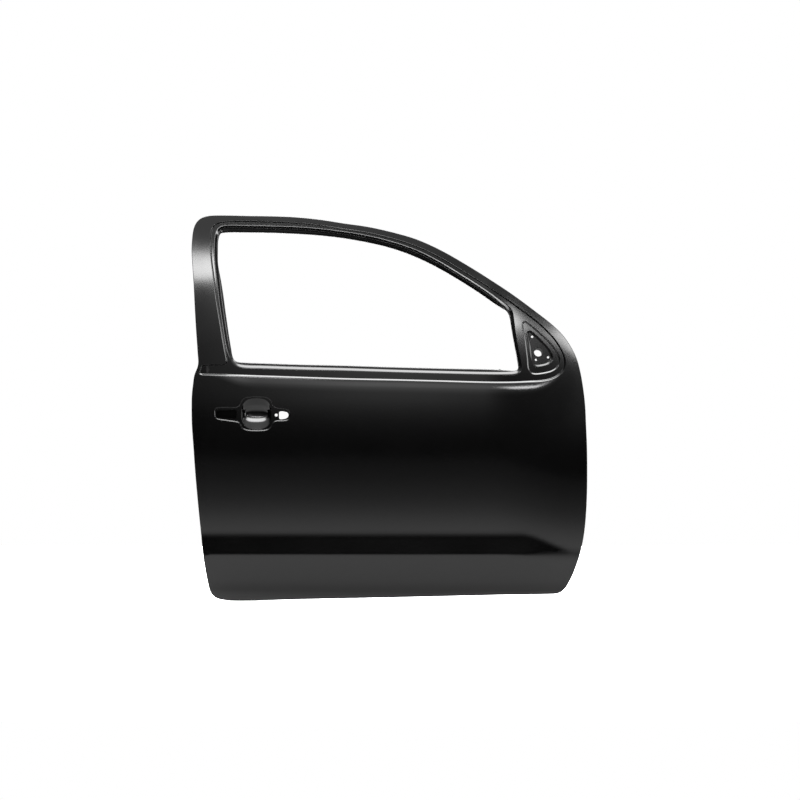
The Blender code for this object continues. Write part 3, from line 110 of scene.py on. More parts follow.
CREASE_SHARES = (
    (0.0220, 0.5850), (0.083, 0.583), (0.144, 0.581), (0.265, 0.577), (0.386, 0.573),
    (0.508, 0.5704), (0.629, 0.5673), (0.750, 0.564), (0.811, 0.564), (0.856, 0.566),
    (0.888, 0.568), (0.911, 0.5732), (0.9305, 0.584), (0.944, 0.600), (0.947, 0.618),
    (0.941, 0.6416), (0.9224, 0.6744), (0.899, 0.701), (0.871, 0.727), (0.811, 0.7725),
    (0.750, 0.816), (0.689, 0.855), (0.629, 0.8916), (0.568, 0.9213), (0.508, 0.941),
    (0.447, 0.956), (0.386, 0.9656), (0.326, 0.975), (0.265, 0.981), (0.164, 0.985),
    (0.100, 0.9855), (0.0773, 0.9834), (0.064, 0.981), (0.0548, 0.974), (0.0485, 0.9638),
    (0.0467, 0.934), (0.0477, 0.8926), (0.0528, 0.851), (0.0573, 0.810), (0.064, 0.763),
    (0.070, 0.727), (0.0768, 0.6856), (0.0839, 0.644), (0.0888, 0.6235), (0.0905, 0.6165),
    (0.0856, 0.613), (0.060, 0.6123), (0.032, 0.6120), (0.0245, 0.6095), (0.0205, 0.603),
    (0.0150, 0.5915), (0.0152, 0.5868),
)
WINDOW_SHARES = (
    (0.0755, 0.9754, 1, 1.02), (0.144, 0.976, 1, 1.02), (0.204, 0.9746, 1, 1.0),
    (0.265, 0.9725, 1, 1.03), (0.326, 0.9676, 1, 1.0), (0.386, 0.960, 1, 0.98),
    (0.447, 0.9495, 1, 1.0), (0.508, 0.934, 1, 0.97), (0.568, 0.913, 1, 1.0),
    (0.629, 0.882, 1, 0.95), (0.689, 0.845, 1, 0.9), (0.750, 0.8046, 1, 0.9),
    (0.780, 0.782, 0.9, 0.88), (0.800, 0.767, 0.6, 0.76), (0.812, 0.754, 0.2, 0.62),
    (0.8156, 0.737, 0, 0.5), (0.8197, 0.701, 0, 0.43), (0.826, 0.662, 0, 0.42),
    (0.834, 0.6235, 0, 0.44), (0.837, 0.604, 0, 0.42), (0.8345, 0.5915, 0, 0.40),
    (0.823, 0.5858, 0, 0.42), (0.790, 0.584, 0, 0.60), (0.750, 0.584, 0, 0.69),
    (0.629, 0.5867, 0, 0.69), (0.508, 0.590, 0, 0.69), (0.386, 0.594, 0, 0.69),
    (0.265, 0.597, 0, 0.69), (0.179, 0.600, 0, 0.69), (0.1286, 0.602, 0, 0.69),
    (0.111, 0.607, 0, 0.55), (0.1013, 0.617, 0, 0.32), (0.0947, 0.631, 0.3, 0.42),
    (0.0887, 0.649, 0.8, 0.60), (0.082, 0.6856, 1, 0.64), (0.0765, 0.722, 1, 0.66),
    (0.0725, 0.748, 1, 0.67), (0.067, 0.789, 1, 0.68), (0.0624, 0.8305, 1, 0.575),
    (0.0576, 0.872, 1, 0.44), (0.0556, 0.908, 1, 0.53), (0.0563, 0.939, 1, 0.53),
    (0.0604, 0.961, 1, 0.7), (0.067, 0.9716, 1, 0.95),
)
SAIL_OUTER_SHARES = (
    (0.836, 0.719), (0.842, 0.675), (0.8477, 0.6286), (0.851, 0.599), (0.861, 0.5872),
    (0.894, 0.5888), (0.9167, 0.5965), (0.930, 0.6105), (0.932, 0.626), (0.9225, 0.648),
    (0.904, 0.672), (0.876, 0.699), (0.8535, 0.7176), (0.843, 0.7254),
)
SAIL_INNER_SHARES = (
    (0.8477, 0.696), (0.853, 0.662), (0.858, 0.6247), (0.8666, 0.608), (0.889, 0.608),
    (0.907, 0.6157), (0.9146, 0.6286), (0.910, 0.6434), (0.894, 0.665), (0.8724, 0.687),
    (0.856, 0.700),
)
MIRROR_BOLT_SHARES = ((0.8613, 0.6835), (0.9017, 0.6304), (0.871, 0.6242))
MIRROR_SEAT_SHARE = (0.8772, 0.644)
HANDLE_SHARE = (0.165, 0.4845)

# Outlines as shares of the handle recess, from its middle
HANDLE_OUTLINE_SHARES = (
    (-0.556, -0.07), (-0.556, 0.12), (-0.545, 0.17), (-0.40, 0.19), (-0.245, 0.205),
    (-0.222, 0.26), (-0.205, 0.36), (-0.15, 0.465), (0, 0.50), (0.15, 0.465),
    (0.205, 0.36), (0.222, 0.24), (0.26, 0.18), (0.36, 0.15), (0.43, 0.11),
    (0.452, 0.03), (0.452, -0.10), (0.43, -0.18), (0.36, -0.21), (0.26, -0.22),
    (0.222, -0.27), (0.205, -0.37), (0.15, -0.47), (0, -0.50), (-0.15, -0.47),
    (-0.205, -0.38), (-0.222, -0.28), (-0.25, -0.25), (-0.40, -0.20), (-0.54, -0.14),
)
REAR_SLOT_SHARES = (
    (-0.535, -0.07), (-0.535, 0.07), (-0.52, 0.095), (-0.40, 0.10), (-0.275, 0.11),
    (-0.262, 0.07), (-0.262, -0.09), (-0.275, -0.135), (-0.40, -0.12), (-0.52, -0.10),
)
FRONT_SLOT_SHARES = (
    (0.305, -0.145), (0.305, 0.05), (0.315, 0.065), (0.38, 0.06), (0.415, 0.03),
    (0.43, -0.04), (0.415, -0.11), (0.38, -0.15), (0.315, -0.16),
)
LOCK_SHARE = (0.265, -0.04)

# The inner panel's openings and beads, as shares of the door's length and height
REAR_ACCESS_SHARES = (
    (0.195, 0.335), (0.194, 0.475), (0.200, 0.500), (0.225, 0.507), (0.33, 0.505),
    (0.42, 0.500), (0.445, 0.480), (0.448, 0.40), (0.440, 0.31), (0.42, 0.285),
    (0.32, 0.275), (0.225, 0.285), (0.202, 0.305),
)
FRONT_ACCESS_SHARES = (
    (0.520, 0.31), (0.515, 0.40), (0.518, 0.462), (0.535, 0.486), (0.62, 0.488),
    (0.74, 0.482), (0.762, 0.465), (0.765, 0.42), (0.752, 0.36), (0.70, 0.318),
    (0.62, 0.292), (0.545, 0.290),
)
SPEAKER_SHARE = (0.765, 0.188)
SAIL_ACCESS_SHARES = (
    (0.856, 0.688), (0.858, 0.652), (0.862, 0.625), (0.872, 0.612), (0.900, 0.612),
    (0.912, 0.632), (0.907, 0.648), (0.890, 0.668), (0.870, 0.690), (0.861, 0.694),
)
BEAD_SHARES = (
    ((0.152, 0.222), (0.158, 0.243), (0.18, 0.250), (0.30, 0.250), (0.43, 0.250),
     (0.452, 0.243), (0.458, 0.222), (0.452, 0.203), (0.43, 0.196), (0.30, 0.196),
     (0.18, 0.196), (0.158, 0.203)),
    ((0.13, 0.125), (0.14, 0.150), (0.32, 0.150), (0.56, 0.150), (0.58, 0.130),
     (0.56, 0.105), (0.32, 0.100), (0.14, 0.105)),
    ((0.815, 0.37), (0.812, 0.43), (0.825, 0.475), (0.85, 0.478), (0.865, 0.455),
     (0.862, 0.40), (0.85, 0.365), (0.83, 0.355)),
)
DRAIN_SHARES = (0.22, 0.48, 0.74)


def ease(value: Array, start: float, run: float) -> Array:
    """Smooth rise from nought to one.

    Args:
        value: Where to read the rise.
        start: Where it begins.
        run: How long it takes.

    Returns:
        The share reached.
    """
    share = np.clip((np.asarray(value, float) - start) / run, 0, 1)
    return share * share * (3 - 2 * share)


def ramp(value: Array, radius: Array) -> Array:
    """Straight rise above nought with its corner rounded.

    Args:
        value: Distance past the corner.
        radius: Half of the rounded run.

    Returns:
        The height of the rise.
    """
    inside = np.clip(value + radius, 0, 2 * radius)
    return inside ** 2 / (4 * radius) + np.maximum(value - radius, 0)


def arc_drop(radius: float, reach: Array) -> Array:
    """Depth of an arc of a radius at a reach from its outermost point."""
    return radius - np.sqrt(radius * radius - np.square(reach))


@dataclass(frozen=True)
class DoorForm:
    """The sizes and the main surfaces of the door.

    A fall or a fade holds an amount, where it begins and how long it takes.
    """

    length: float = 1.188
    height: float = 1.159
    sheet: float = 0.0008
    gap: float = 0.0003
    # Outer surface, from the crown down to the tuck at the bottom
    plan_radius: float = 12.0
    crown_radius: float = 1.77
    crown_height: float = 0.450
    crown_fall: tuple[float, float, float] = (0.070, 0.880, 0.280)
    frame_radius: float = 1.9
    shoulder: float = 0.665
    band_top: float = 0.199
    band_fall: tuple[float, float, float] = (0.048, 0.985, 0.170)
    band_round: float = 0.011
    ridge: float = 0.136
    ridge_round: float = 0.0022
    ridge_fade: tuple[float, float, float] = (0.020, 0.930, 0.230)
    tuck: float = 0.046
    tuck_round: float = 0.010
    band_flare: float = math.radians(2)
    sill_tilt: float = math.radians(9)
    tuck_tilt: float = math.radians(16)
    # Recess round the window
    recess_depth: float = 0.007
    recess_fade: tuple[float, float, float] = (0.0009, 0.014, 0.036)
    # Inner panel's face and its end walls
    trim_depth: float = 0.135
    belt_depth: float = 0.085
    shelf: tuple[float, float] = (0.584, 0.056)
    belt: tuple[float, float] = (0.694, 0.072)
    frame_depth: float = 0.028
    hinge_inset: float = 0.064
    latch_inset: float = 0.068

    @property
    def stack(self) -> float:
        """Distance between the middles of two sheets that lie on each other."""
        return self.sheet + self.gap

    def skin(self, u: Array, w: Array) -> Array:
        """Depth of the skin's middle surface without recesses.

        Args:
            u: Places along the door.
            w: Heights.

        Returns:
            The depths.
        """
        fall, start, run = self.crown_fall
        centre = self.crown_height - fall * ease(u, start, run)
        fall, start, run = self.band_fall
        top = self.band_top - fall * ease(u, start, run)
        fade, start, run = self.ridge_fade
        ridge_round = self.ridge_round + fade * ease(u, start, run)
        held = w + ramp(top - w, self.band_round)
        depth = arc_drop(self.crown_radius, np.minimum(held, self.shoulder) - centre)
        reach = (self.shoulder - centre) / self.crown_radius * self.frame_radius
        over = np.maximum(w - self.shoulder, 0)
        depth = depth + arc_drop(self.frame_radius, reach + over)
        depth = depth - arc_drop(self.frame_radius, reach)
        below = ramp(self.ridge - w, ridge_round)
        under = ramp(self.tuck - w, self.tuck_round)
        depth = depth - math.tan(self.band_flare) * (ramp(top - w, self.band_round) - below)
        depth = depth + math.tan(self.sill_tilt) * (below - under)
        depth = depth + math.tan(self.tuck_tilt) * under
        return depth + arc_drop(self.plan_radius, u - self.length / 2)

    def recess(self, u: Array, w: Array) -> Array:
        """Depth of the floor of the recess round the window, which runs out at the rear."""
        shallow, start, run = self.recess_fade
        return self.skin(u, w) + shallow + (self.recess_depth - shallow) * ease(u, start, run)

    def inner(self, u: Array, w: Array) -> Array:
        """Depth of the inner panel's face.

        Args:
            u: Places along the door.
            w: Heights.

        Returns:
            The depths.
        """
        body = self.trim_depth + (self.belt_depth - self.trim_depth) * ease(w, *self.shelf)
        frame = self.skin(u, w) + self.frame_depth
        start, run = self.belt
        return body + (frame - body) * ease(w, start, run)

    def on_door(self, shares: Sequence[Sequence[float]]) -> Array:
        """Plan points from shares of the door's length and height."""
        points = np.array(shares, float)
        points[:, 0] *= self.length
        points[:, 1] *= self.height
        return points


FORM = DoorForm()


def slope_normals(u: Array, w: Array, depth_at: Depth) -> Array:
    """Normals that point outboard on a surface given by its depth.

    Args:
        u: Places along the door.
        w: Heights.
        depth_at: The surface.

    Returns:
        One unit normal a row.
    """
    along = (depth_at(u + STEP, w) - depth_at(u - STEP, w)) / (2 * STEP)
    up = (depth_at(u, w + STEP) - depth_at(u, w - STEP)) / (2 * STEP)
    normals = np.stack([along, -np.ones_like(along), up], axis=1)
    return normals / np.linalg.norm(normals, axis=1)[:, None]


def laid(loop: Array, depth_at: Depth, extra: Array = 0.0) -> Array:
    """Lay a plan loop on a surface.

    Args:
        loop: Rows that start with u and w.
        depth_at: The surface.
        extra: Depth added to it, in all or point by point.

    Returns:
        Rows of u, v and w.
    """
    u, w = loop[:, 0], loop[:, 1]
    return np.stack([u, depth_at(u, w) + extra, w], axis=1)


def spline(points: Array, counts: Array) -> Array:
    """Closed centripetal curve through points.

    Args:
        points: Rows whose first two or three columns are a place; others ride along.
        counts: How many samples each stretch gets.

    Returns:
        The samples.
    """
    def knot(a: Array, b: Array) -> Array:
        """Spacing of the curve's parameter between two points."""
        apart = np.linalg.norm((b - a)[:, :2], axis=1)
        return np.sqrt(np.maximum(apart, LEAST_APART))[:, None]

    before, here = np.roll(points, 1, axis=0), points
    after, beyond = np.roll(points, -1, axis=0), np.roll(points, -2, axis=0)
    d0, d1, d2 = knot(before, here), knot(here, after), knot(after, beyond)
    leave = d1 * ((here - before) / d0 - (after - before) / (d0 + d1) + (after - here) / d1)
    arrive = d1 * ((after - here) / d1 - (beyond - here) / (d1 + d2) + (beyond - after) / d2)
    rows = np.repeat(np.arange(len(points)), counts)
    t = np.concatenate([np.arange(c) / c for c in counts])[:, None]
    a, b = here[rows], after[rows]
    return ((2 * t ** 3 - 3 * t ** 2 + 1) * a + (t ** 3 - 2 * t ** 2 + t) * leave[rows]
            + (3 * t ** 2 - 2 * t ** 3) * b + (t ** 3 - t ** 2) * arrive[rows])


def signed_area(loop: Array) -> float:
    """Signed area of a plan loop."""
    nxt = np.roll(loop, -1, axis=0)
    return float(np.sum(loop[:, 0] * nxt[:, 1] - nxt[:, 0] * loop[:, 1])) / 2


def even_loop(controls: Array, spacing: float, softening: int = 4) -> Array:
    """Closed curve through controls with points at an even spacing.

    Args:
        controls: Points that the outline follows.
        spacing: Distance between points.
        softening: How many times its points are averaged with their neighbours.

    Returns:
        The loop, which runs anticlockwise seen from outside.
    """
    points = np.array(controls, float)
    if signed_area(points) < 0:
        points = points[::-1]
    fine = spline(points, np.full(len(points), CURVE_SAMPLES))
    closed = np.vstack([fine, fine[:1]])
    lengths = np.linalg.norm(np.diff(closed[:, :2], axis=0), axis=1)
    run = np.concatenate([[0], np.cumsum(lengths)])
    count = max(int(run[-1] / spacing), LEAST_POINTS)
    marks = np.linspace(0, run[-1], count, endpoint=False)
    loop = np.stack([np.interp(marks, run, column) for column in closed.T], axis=1)
    for _ in range(softening):
        loop = (np.roll(loop, 1, axis=0) + 2 * loop + np.roll(loop, -1, axis=0)) / 4
    return loop


def outward(loop: Array) -> Array:
    """Outward plan normal at each point of a loop, longer at corners."""
    before = (loop - np.roll(loop, 1, axis=0))[:, :2]
    after = (np.roll(loop, -1, axis=0) - loop)[:, :2]
    before = before / np.linalg.norm(before, axis=1)[:, None]
    after = after / np.linalg.norm(after, axis=1)[:, None]
    along = before + after
    half = np.maximum(np.linalg.norm(along, axis=1) / 2, CORNER_LIMIT)
    along = along / np.linalg.norm(along, axis=1)[:, None]
    return np.stack([along[:, 1], -along[:, 0]], axis=1) / half[:, None]


def inset(loop: Array, distance: Array, rounds: int = 1, easing: Array = 1.0) -> Array:
    """Loop moved inwards and eased round its corners.

    Args:
        loop: The loop.
        distance: How far, in all or point by point.
        rounds: In how many moves.
        easing: How strongly each move is eased, from nought to one.

    Returns:
        The new loop, point for point.
    """
    moved = np.array(loop, float)
    each = np.broadcast_to(np.asarray(distance, float), (len(moved),)) / rounds
    weight = np.broadcast_to(np.asarray(easing, float), (len(moved),)) / 4
    for _ in range(rounds):
        moved[:, :2] -= outward(moved) * each[:, None]
        if rounds > 1:
            middle = (np.roll(moved, 1, axis=0) + np.roll(moved, -1, axis=0)) / 2
            moved[:, :2] += (middle - moved)[:, :2] * weight[:, None]
    return moved


def round_loop(centre: Sequence[float], width: float, height: float, count: int,
               power: float = 2.0) -> Array:
    """Loop from a circle to a rounded square.

    Args:
        centre: Its middle.
        width: Size along the door.
        height: Size upwards.
        count: Number of points.
        power: Two gives an ellipse, more a squarer form.

    Returns:
        The loop.
    """
    angle = np.linspace(0, math.tau, count, endpoint=False)
    c, s = np.cos(angle), np.sin(angle)
    return np.stack([centre[0] + np.sign(c) * np.abs(c) ** (2 / power) * width / 2,
                     centre[1] + np.sign(s) * np.abs(s) ** (2 / power) * height / 2], axis=1)


def inside(points: Array, loop: Array) -> Array:
    """Whether plan points lie in a loop.

    Args:
        points: The points.
        loop: The loop.

    Returns:
        One truth value a point.
    """
    odd = np.zeros(len(points), bool)
    x, y = points[:, 0], points[:, 1]
    for (ax, ay), (bx, by) in zip(loop[:, :2], np.roll(loop, -1, axis=0)[:, :2]):
        if ay == by:
            continue
        crossing = (bx - ax) * (y - ay) / (by - ay) + ax
        odd ^= ((ay > y) != (by > y)) & (x < crossing)
    return odd


def hem_edge(spacing: float, softening: int = 4) -> Array:
    """Edge that the hem folds round, along the door's outline.

    Args:
        spacing: Distance between points.
        softening: How many times its points are averaged with their neighbours.

    Returns:
        The loop.
    """
    outline = even_loop(FORM.on_door(OUTLINE_SHARES), spacing, softening)
    return inset(outline, FORM.stack + FORM.sheet / 2)


def window_loop() -> Array:
    """Coarse outline of the window, with its flange's kind and width riding along."""
    return even_loop(FORM.on_door(WINDOW_SHARES), WINDOW_SPACING, softening=1)


@dataclass
class PressedSheet:
    """A pressed sheet that is grown from loops, with its own exact normals."""

    thickness: float = FORM.sheet
    places: list[Array] = field(default_factory=list)
    normals: list[Array] = field(default_factory=list)
    quads: list[Array] = field(default_factory=list)
    triangles: list[Array] = field(default_factory=list)
    count: int = 0

    def ring(self, places: Array, normals: Array) -> Array:
        """Keep points with their normals.

        Args:
            places: Rows of u, v and w.
            normals: Rows that point outboard.

        Returns:
            The points' numbers.
        """
        self.places.append(places)
        self.normals.append(normals)
        first, self.count = self.count, self.count + len(places)
        return np.arange(first, self.count)

    def level(self, loop: Array, depth_at: Depth) -> Array:
        """Ring that lies on a surface and takes its normals."""
        normals = slope_normals(loop[:, 0], loop[:, 1], depth_at)
        return self.ring(laid(loop, depth_at), normals)

    def strip(self, rings: Sequence[Array], closed: bool = True) -> None:
        """Join rings that have as many points.

        Args:
            rings: The points' numbers, ring by ring.
            closed: Whether each ring's last point joins its first.
        """
        for a, b in zip(rings, rings[1:]):
            rows = np.stack([a, np.roll(a, -1), np.roll(b, -1), b], axis=1)
            self.quads.append(rows if closed else rows[:-1])

    def section(self, levels: Sequence[Array], cuts: Sequence[float], steps: int = 5,
                closed: bool = True, outwards: bool = False) -> tuple[Array, Array]:
        """Sweep a section through matching loops, with its corners rounded.

        Args:
            levels: Rows of u, v and w for each loop, from the first edge to the last.
            cuts: How far each inner corner is cut back before it is rounded.
            steps: Rings to a corner.
            closed: Whether the loops are closed.
            outwards: Whether the section starts on the loop's inner side.

        Returns:
            The first and the last ring.
        """
        rings, slopes = [levels[0]], [levels[1] - levels[0]]
        for before, corner, after, cut in zip(levels, levels[1:], levels[2:], cuts):
            back, on = before - corner, after - corner
            far_back = np.linalg.norm(back, axis=1)[:, None]
            far_on = np.linalg.norm(on, axis=1)[:, None]
            start = corner + back / far_back * np.minimum(cut, CUT_LIMIT * far_back)
            end = corner + on / far_on * np.minimum(cut, CUT_LIMIT * far_on)
            for t in np.linspace(0, 1, steps):
                rings.append((1 - t) ** 2 * start + 2 * t * (1 - t) * corner + t * t * end)
                slopes.append((1 - t) * (corner - start) + t * (end - corner))
        rings.append(levels[-1])
        slopes.append(levels[-1] - levels[-2])
        numbers = []
        for ring, slope in zip(rings, slopes):
            along = np.roll(ring, -1, axis=0) - np.roll(ring, 1, axis=0)
            if not closed:
                along[0], along[-1] = ring[1] - ring[0], ring[-1] - ring[-2]
            normal = np.cross(slope, along) if outwards else np.cross(along, slope)
            normal /= np.maximum(np.linalg.norm(normal, axis=1), TINY)[:, None]
            numbers.append(self.ring(ring, normal))
        self.strip(numbers, closed)
        return numbers[0], numbers[-1]

    def settle(self, ring: Array, depth_at: Depth) -> None:
        """Give a ring the normals of the face that it borders."""
        places, normals = np.concatenate(self.places), np.concatenate(self.normals)
        at = places[ring]
        normals[ring] = slope_normals(at[:, 0], at[:, 2], depth_at)
        self.places, self.normals = [places], [normals]

    def fill(self, rim: Array, holes: Sequence[Array], depth_at: Depth, spacing: float) -> None:
        """Cover the plan between a rim and its holes.

        Args:
            rim: Numbers of the rim's points.
            holes: Numbers of each hole's points.
            depth_at: The surface to cover it with.
            spacing: Distance between the points inside.
        """
        places = np.concatenate(self.places)
        rings = [rim, *holes]
        loops = [places[ring][:, (0, 2)] for ring in rings]
        known, edges = np.concatenate(loops), []
        for loop in loops:
            first = len(edges)
            edges += [(first + i, first + (i + 1) % len(loop)) for i in range(len(loop))]
        low, high = loops[0].min(axis=0), loops[0].max(axis=0)
        rows = max(int((high[1] - low[1]) / (spacing * ROW_SHARE)), 1)
        columns = max(int((high[0] - low[0]) / spacing), 1)
        grid = np.array([((c + r % 2 / 2) / columns, r / rows)
                         for r in range(1, rows) for c in range(columns)]).reshape(-1, 2)
        grid = low + grid * (high - low)
        grid = grid[inside(grid, loops[0])]
        for loop in loops[1:]:
            grid = grid[~inside(grid, loop)]
        near = np.full(len(grid), np.inf)
        for x, y in known:
            near = np.minimum(near, np.hypot(grid[:, 0] - x, grid[:, 1] - y))
        grid = grid[near > spacing * CLEAR_SHARE]
        points = [Vector(p) for p in np.concatenate([known, grid])]
        out, _, faces, origins, _, _ = delaunay_2d_cdt(points, edges, [], 0, MERGE_DISTANCE)
        flat = np.array([(p.x, p.y) for p in out])
        middles = np.array([flat[list(face)].mean(axis=0) for face in faces])
        keep = inside(middles, loops[0])
        for loop in loops[1:]:
            keep &= ~inside(middles, loop)
        numbers, fresh = np.zeros(len(out), int), []
        known_numbers = np.concatenate(rings)
        for i, origin in enumerate(origins):
            held = [o for o in origin if o < len(known)]
            if held:
                numbers[i] = known_numbers[held[0]]
            else:
                numbers[i] = self.count + len(fresh)
                fresh.append(i)
        if fresh:
            self.level(flat[fresh], depth_at)
        kept = [face for face, wanted in zip(faces, keep) if wanted]
        self.triangles.append(numbers[np.array(kept)])

    def build(self, name: str, cutter: "bpy.types.Object | None" = None) -> bpy.types.Object:
        """Make the object, both faces and its cut edges.

        Args:
            name: The piece's name.
            cutter: An object whose shape is taken out.

        Returns:
            The object, at the origin.
        """
        places, normals = np.concatenate(self.places), np.concatenate(self.normals)
        quads = np.concatenate(self.quads) if self.quads else np.zeros((0, 4), int)
        triangles = np.concatenate(self.triangles) if self.triangles else np.zeros((0, 3), int)
        halves = [quads[:, :3], quads[:, (0, 2, 3)], triangles]
        faces = np.concatenate(halves)
        a, b, c = (places[faces[:, k]] for k in range(3))
        area = np.cross(b - a, c - a)
        faces = faces[np.linalg.norm(area, axis=1) > LEAST_AREA]
        a, b, c = (places[faces[:, k]] for k in range(3))
        turned = np.einsum("ij,ij->i", np.cross(b - a, c - a), normals[faces].sum(axis=1)) < 0
        faces[turned] = faces[turned][:, ::-1]
        total = len(places)
        front = places + normals * self.thickness / 2
        back = places - normals * self.thickness / 2
        directed = np.concatenate([faces[:, (0, 1)], faces[:, (1, 2)], faces[:, (2, 0)]])
        keys = directed[:, 0] * total + directed[:, 1]
        mates = directed[:, 1] * total + directed[:, 0]
        rim = directed[~np.isin(keys, mates)]
        start, end = rim[:, 0], rim[:, 1]
        edge_faces = np.stack([end, start, start + total, end + total], axis=1)
        vertices = np.concatenate([front, back]) - DOOR_ORIGIN
        polygons = faces.tolist() + (faces[:, ::-1] + total).tolist() + edge_faces.tolist()
        mesh = bpy.data.meshes.new(name)
        mesh.from_pydata(vertices.tolist(), [], polygons)
        mesh.update()
        exact = np.concatenate([normals, -normals])
        piece = link(name, mesh)
        if cutter is not None:
            table = {key(p): n for p, n in zip(vertices, exact)}
            piece = cut_out(piece, cutter)
            piece.name = name
            mesh = piece.data
            exact = np.array([table.get(key(v.co), (0, 0, 0)) for v in mesh.vertices])
        shade_exactly(mesh, exact)
        return piece


def key(place: Sequence[float]) -> tuple[int, int, int]:
    """A place rounded to a few micrometres, to find it again."""
    return tuple(int(round(x * KEY_STEPS)) for x in place)


def link(name: str, data: bpy.types.ID) -> bpy.types.Object:
    """Put data in the scene under a name."""
    piece = bpy.data.objects.new(name, data)
    bpy.context.scene.collection.objects.link(piece)
    return piece


def plain_mesh(piece: bpy.types.Object, name: str) -> bpy.types.Object:
    """Turn a piece's evaluated form into a plain mesh and drop the piece.

    Args:
        piece: An object with modifiers.
        name: The name of the new one.

    Returns:
        The new object.
    """
    graph = bpy.context.evaluated_depsgraph_get()
    mesh = bpy.data.meshes.new_from_object(piece.evaluated_get(graph))
    old = piece.data
    bpy.data.objects.remove(piece)
    if isinstance(old, bpy.types.Mesh) and not old.users:
        bpy.data.meshes.remove(old)
    return link(name, mesh)


def cut_out(piece: bpy.types.Object, cutter: bpy.types.Object) -> bpy.types.Object:
    """Take a cutter's shape out of a piece and drop both originals."""
    knife = piece.modifiers.new("holes", "BOOLEAN")
    knife.operation = "DIFFERENCE"
    knife.solver = "EXACT"
    knife.object = cutter
    result = plain_mesh(piece, piece.name + "_cut")
    bpy.data.objects.remove(cutter)
    return result


def shade_exactly(mesh: bpy.types.Mesh, exact: Array) -> None:
    """Shade a mesh by known normals, and flat where a face lies across them.

    Args:
        mesh: The mesh.
        exact: One normal a vertex, or nought where it isn't known.
    """
    mesh.shade_smooth()
    corner_vertices = np.zeros(len(mesh.loops), int)
    mesh.loops.foreach_get("vertex_index", corner_vertices)
    sizes = np.zeros(len(mesh.polygons), int)
    mesh.polygons.foreach_get("loop_total", sizes)
    flat = np.zeros(len(mesh.polygons) * 3)
    mesh.polygons.foreach_get("normal", flat)
    flat = np.repeat(flat.reshape(-1, 3), sizes, axis=0)
    normals = exact[corner_vertices]
    across = np.einsum("ij,ij->i", normals, flat) < SHARP_COSINE
    normals[across] = flat[across]
    mesh.normals_split_custom_set(normals.tolist())


def feed(tree: bpy.types.NodeTree, node: bpy.types.Node,
         inputs: dict[int | str, object]) -> None:
    """Set a node's inputs.

    Args:
        tree: The node's tree.
        node: The node.
        inputs: A value, or a socket to link, for each input's name or place.
    """
    for name, value in inputs.items():
        if isinstance(value, bpy.types.NodeSocket):
            tree.links.new(value, node.inputs[name])
        else:
            node.inputs[name].default_value = value


def add_node(tree: bpy.types.NodeTree, kind: str, inputs: dict[int | str, object] | None = None,
             **settings: object) -> bpy.types.Node:
    """Add a node to a tree.

    Args:
        tree: The tree.
        kind: The node's type.
        inputs: What its inputs take.
        settings: The node's own properties.

    Returns:
        The node.
    """
    node = tree.nodes.new(kind)
    for name, value in settings.items():
        setattr(node, name, value)
    feed(tree, node, inputs or {})
    return node


def grey_ramp(tree: bpy.types.NodeTree, source: bpy.types.NodeSocket,
              stops: Sequence[tuple[float, float]]) -> bpy.types.NodeSocket:
    """Add a ramp of greys.

    Args:
        tree: The node tree.
        source: What runs along the ramp.
        stops: Pairs of a position and a grey.

    Returns:
        The ramp's colour.
    """
    node = add_node(tree, "ShaderNodeValToRGB", {"Fac": source})
    elements = node.color_ramp.elements
    while len(elements) < len(stops):
        elements.new(0.5)
    for element, (position, value) in zip(elements, stops):
        element.position = position
        element.color = (value, value, value, 1)
    return node.outputs["Color"]


class Tint(Enum):
    """Base colours of the primer, as linear red, green and blue."""

    SKIN = (0.0006, 0.0006, 0.00065)
    PANEL = (0.0008, 0.0008, 0.00085)
    STEEL = (0.0025, 0.0025, 0.0026)
    SEALER = (0.0180, 0.0180, 0.0176)
    WELD = (0.0090, 0.0090, 0.0090)


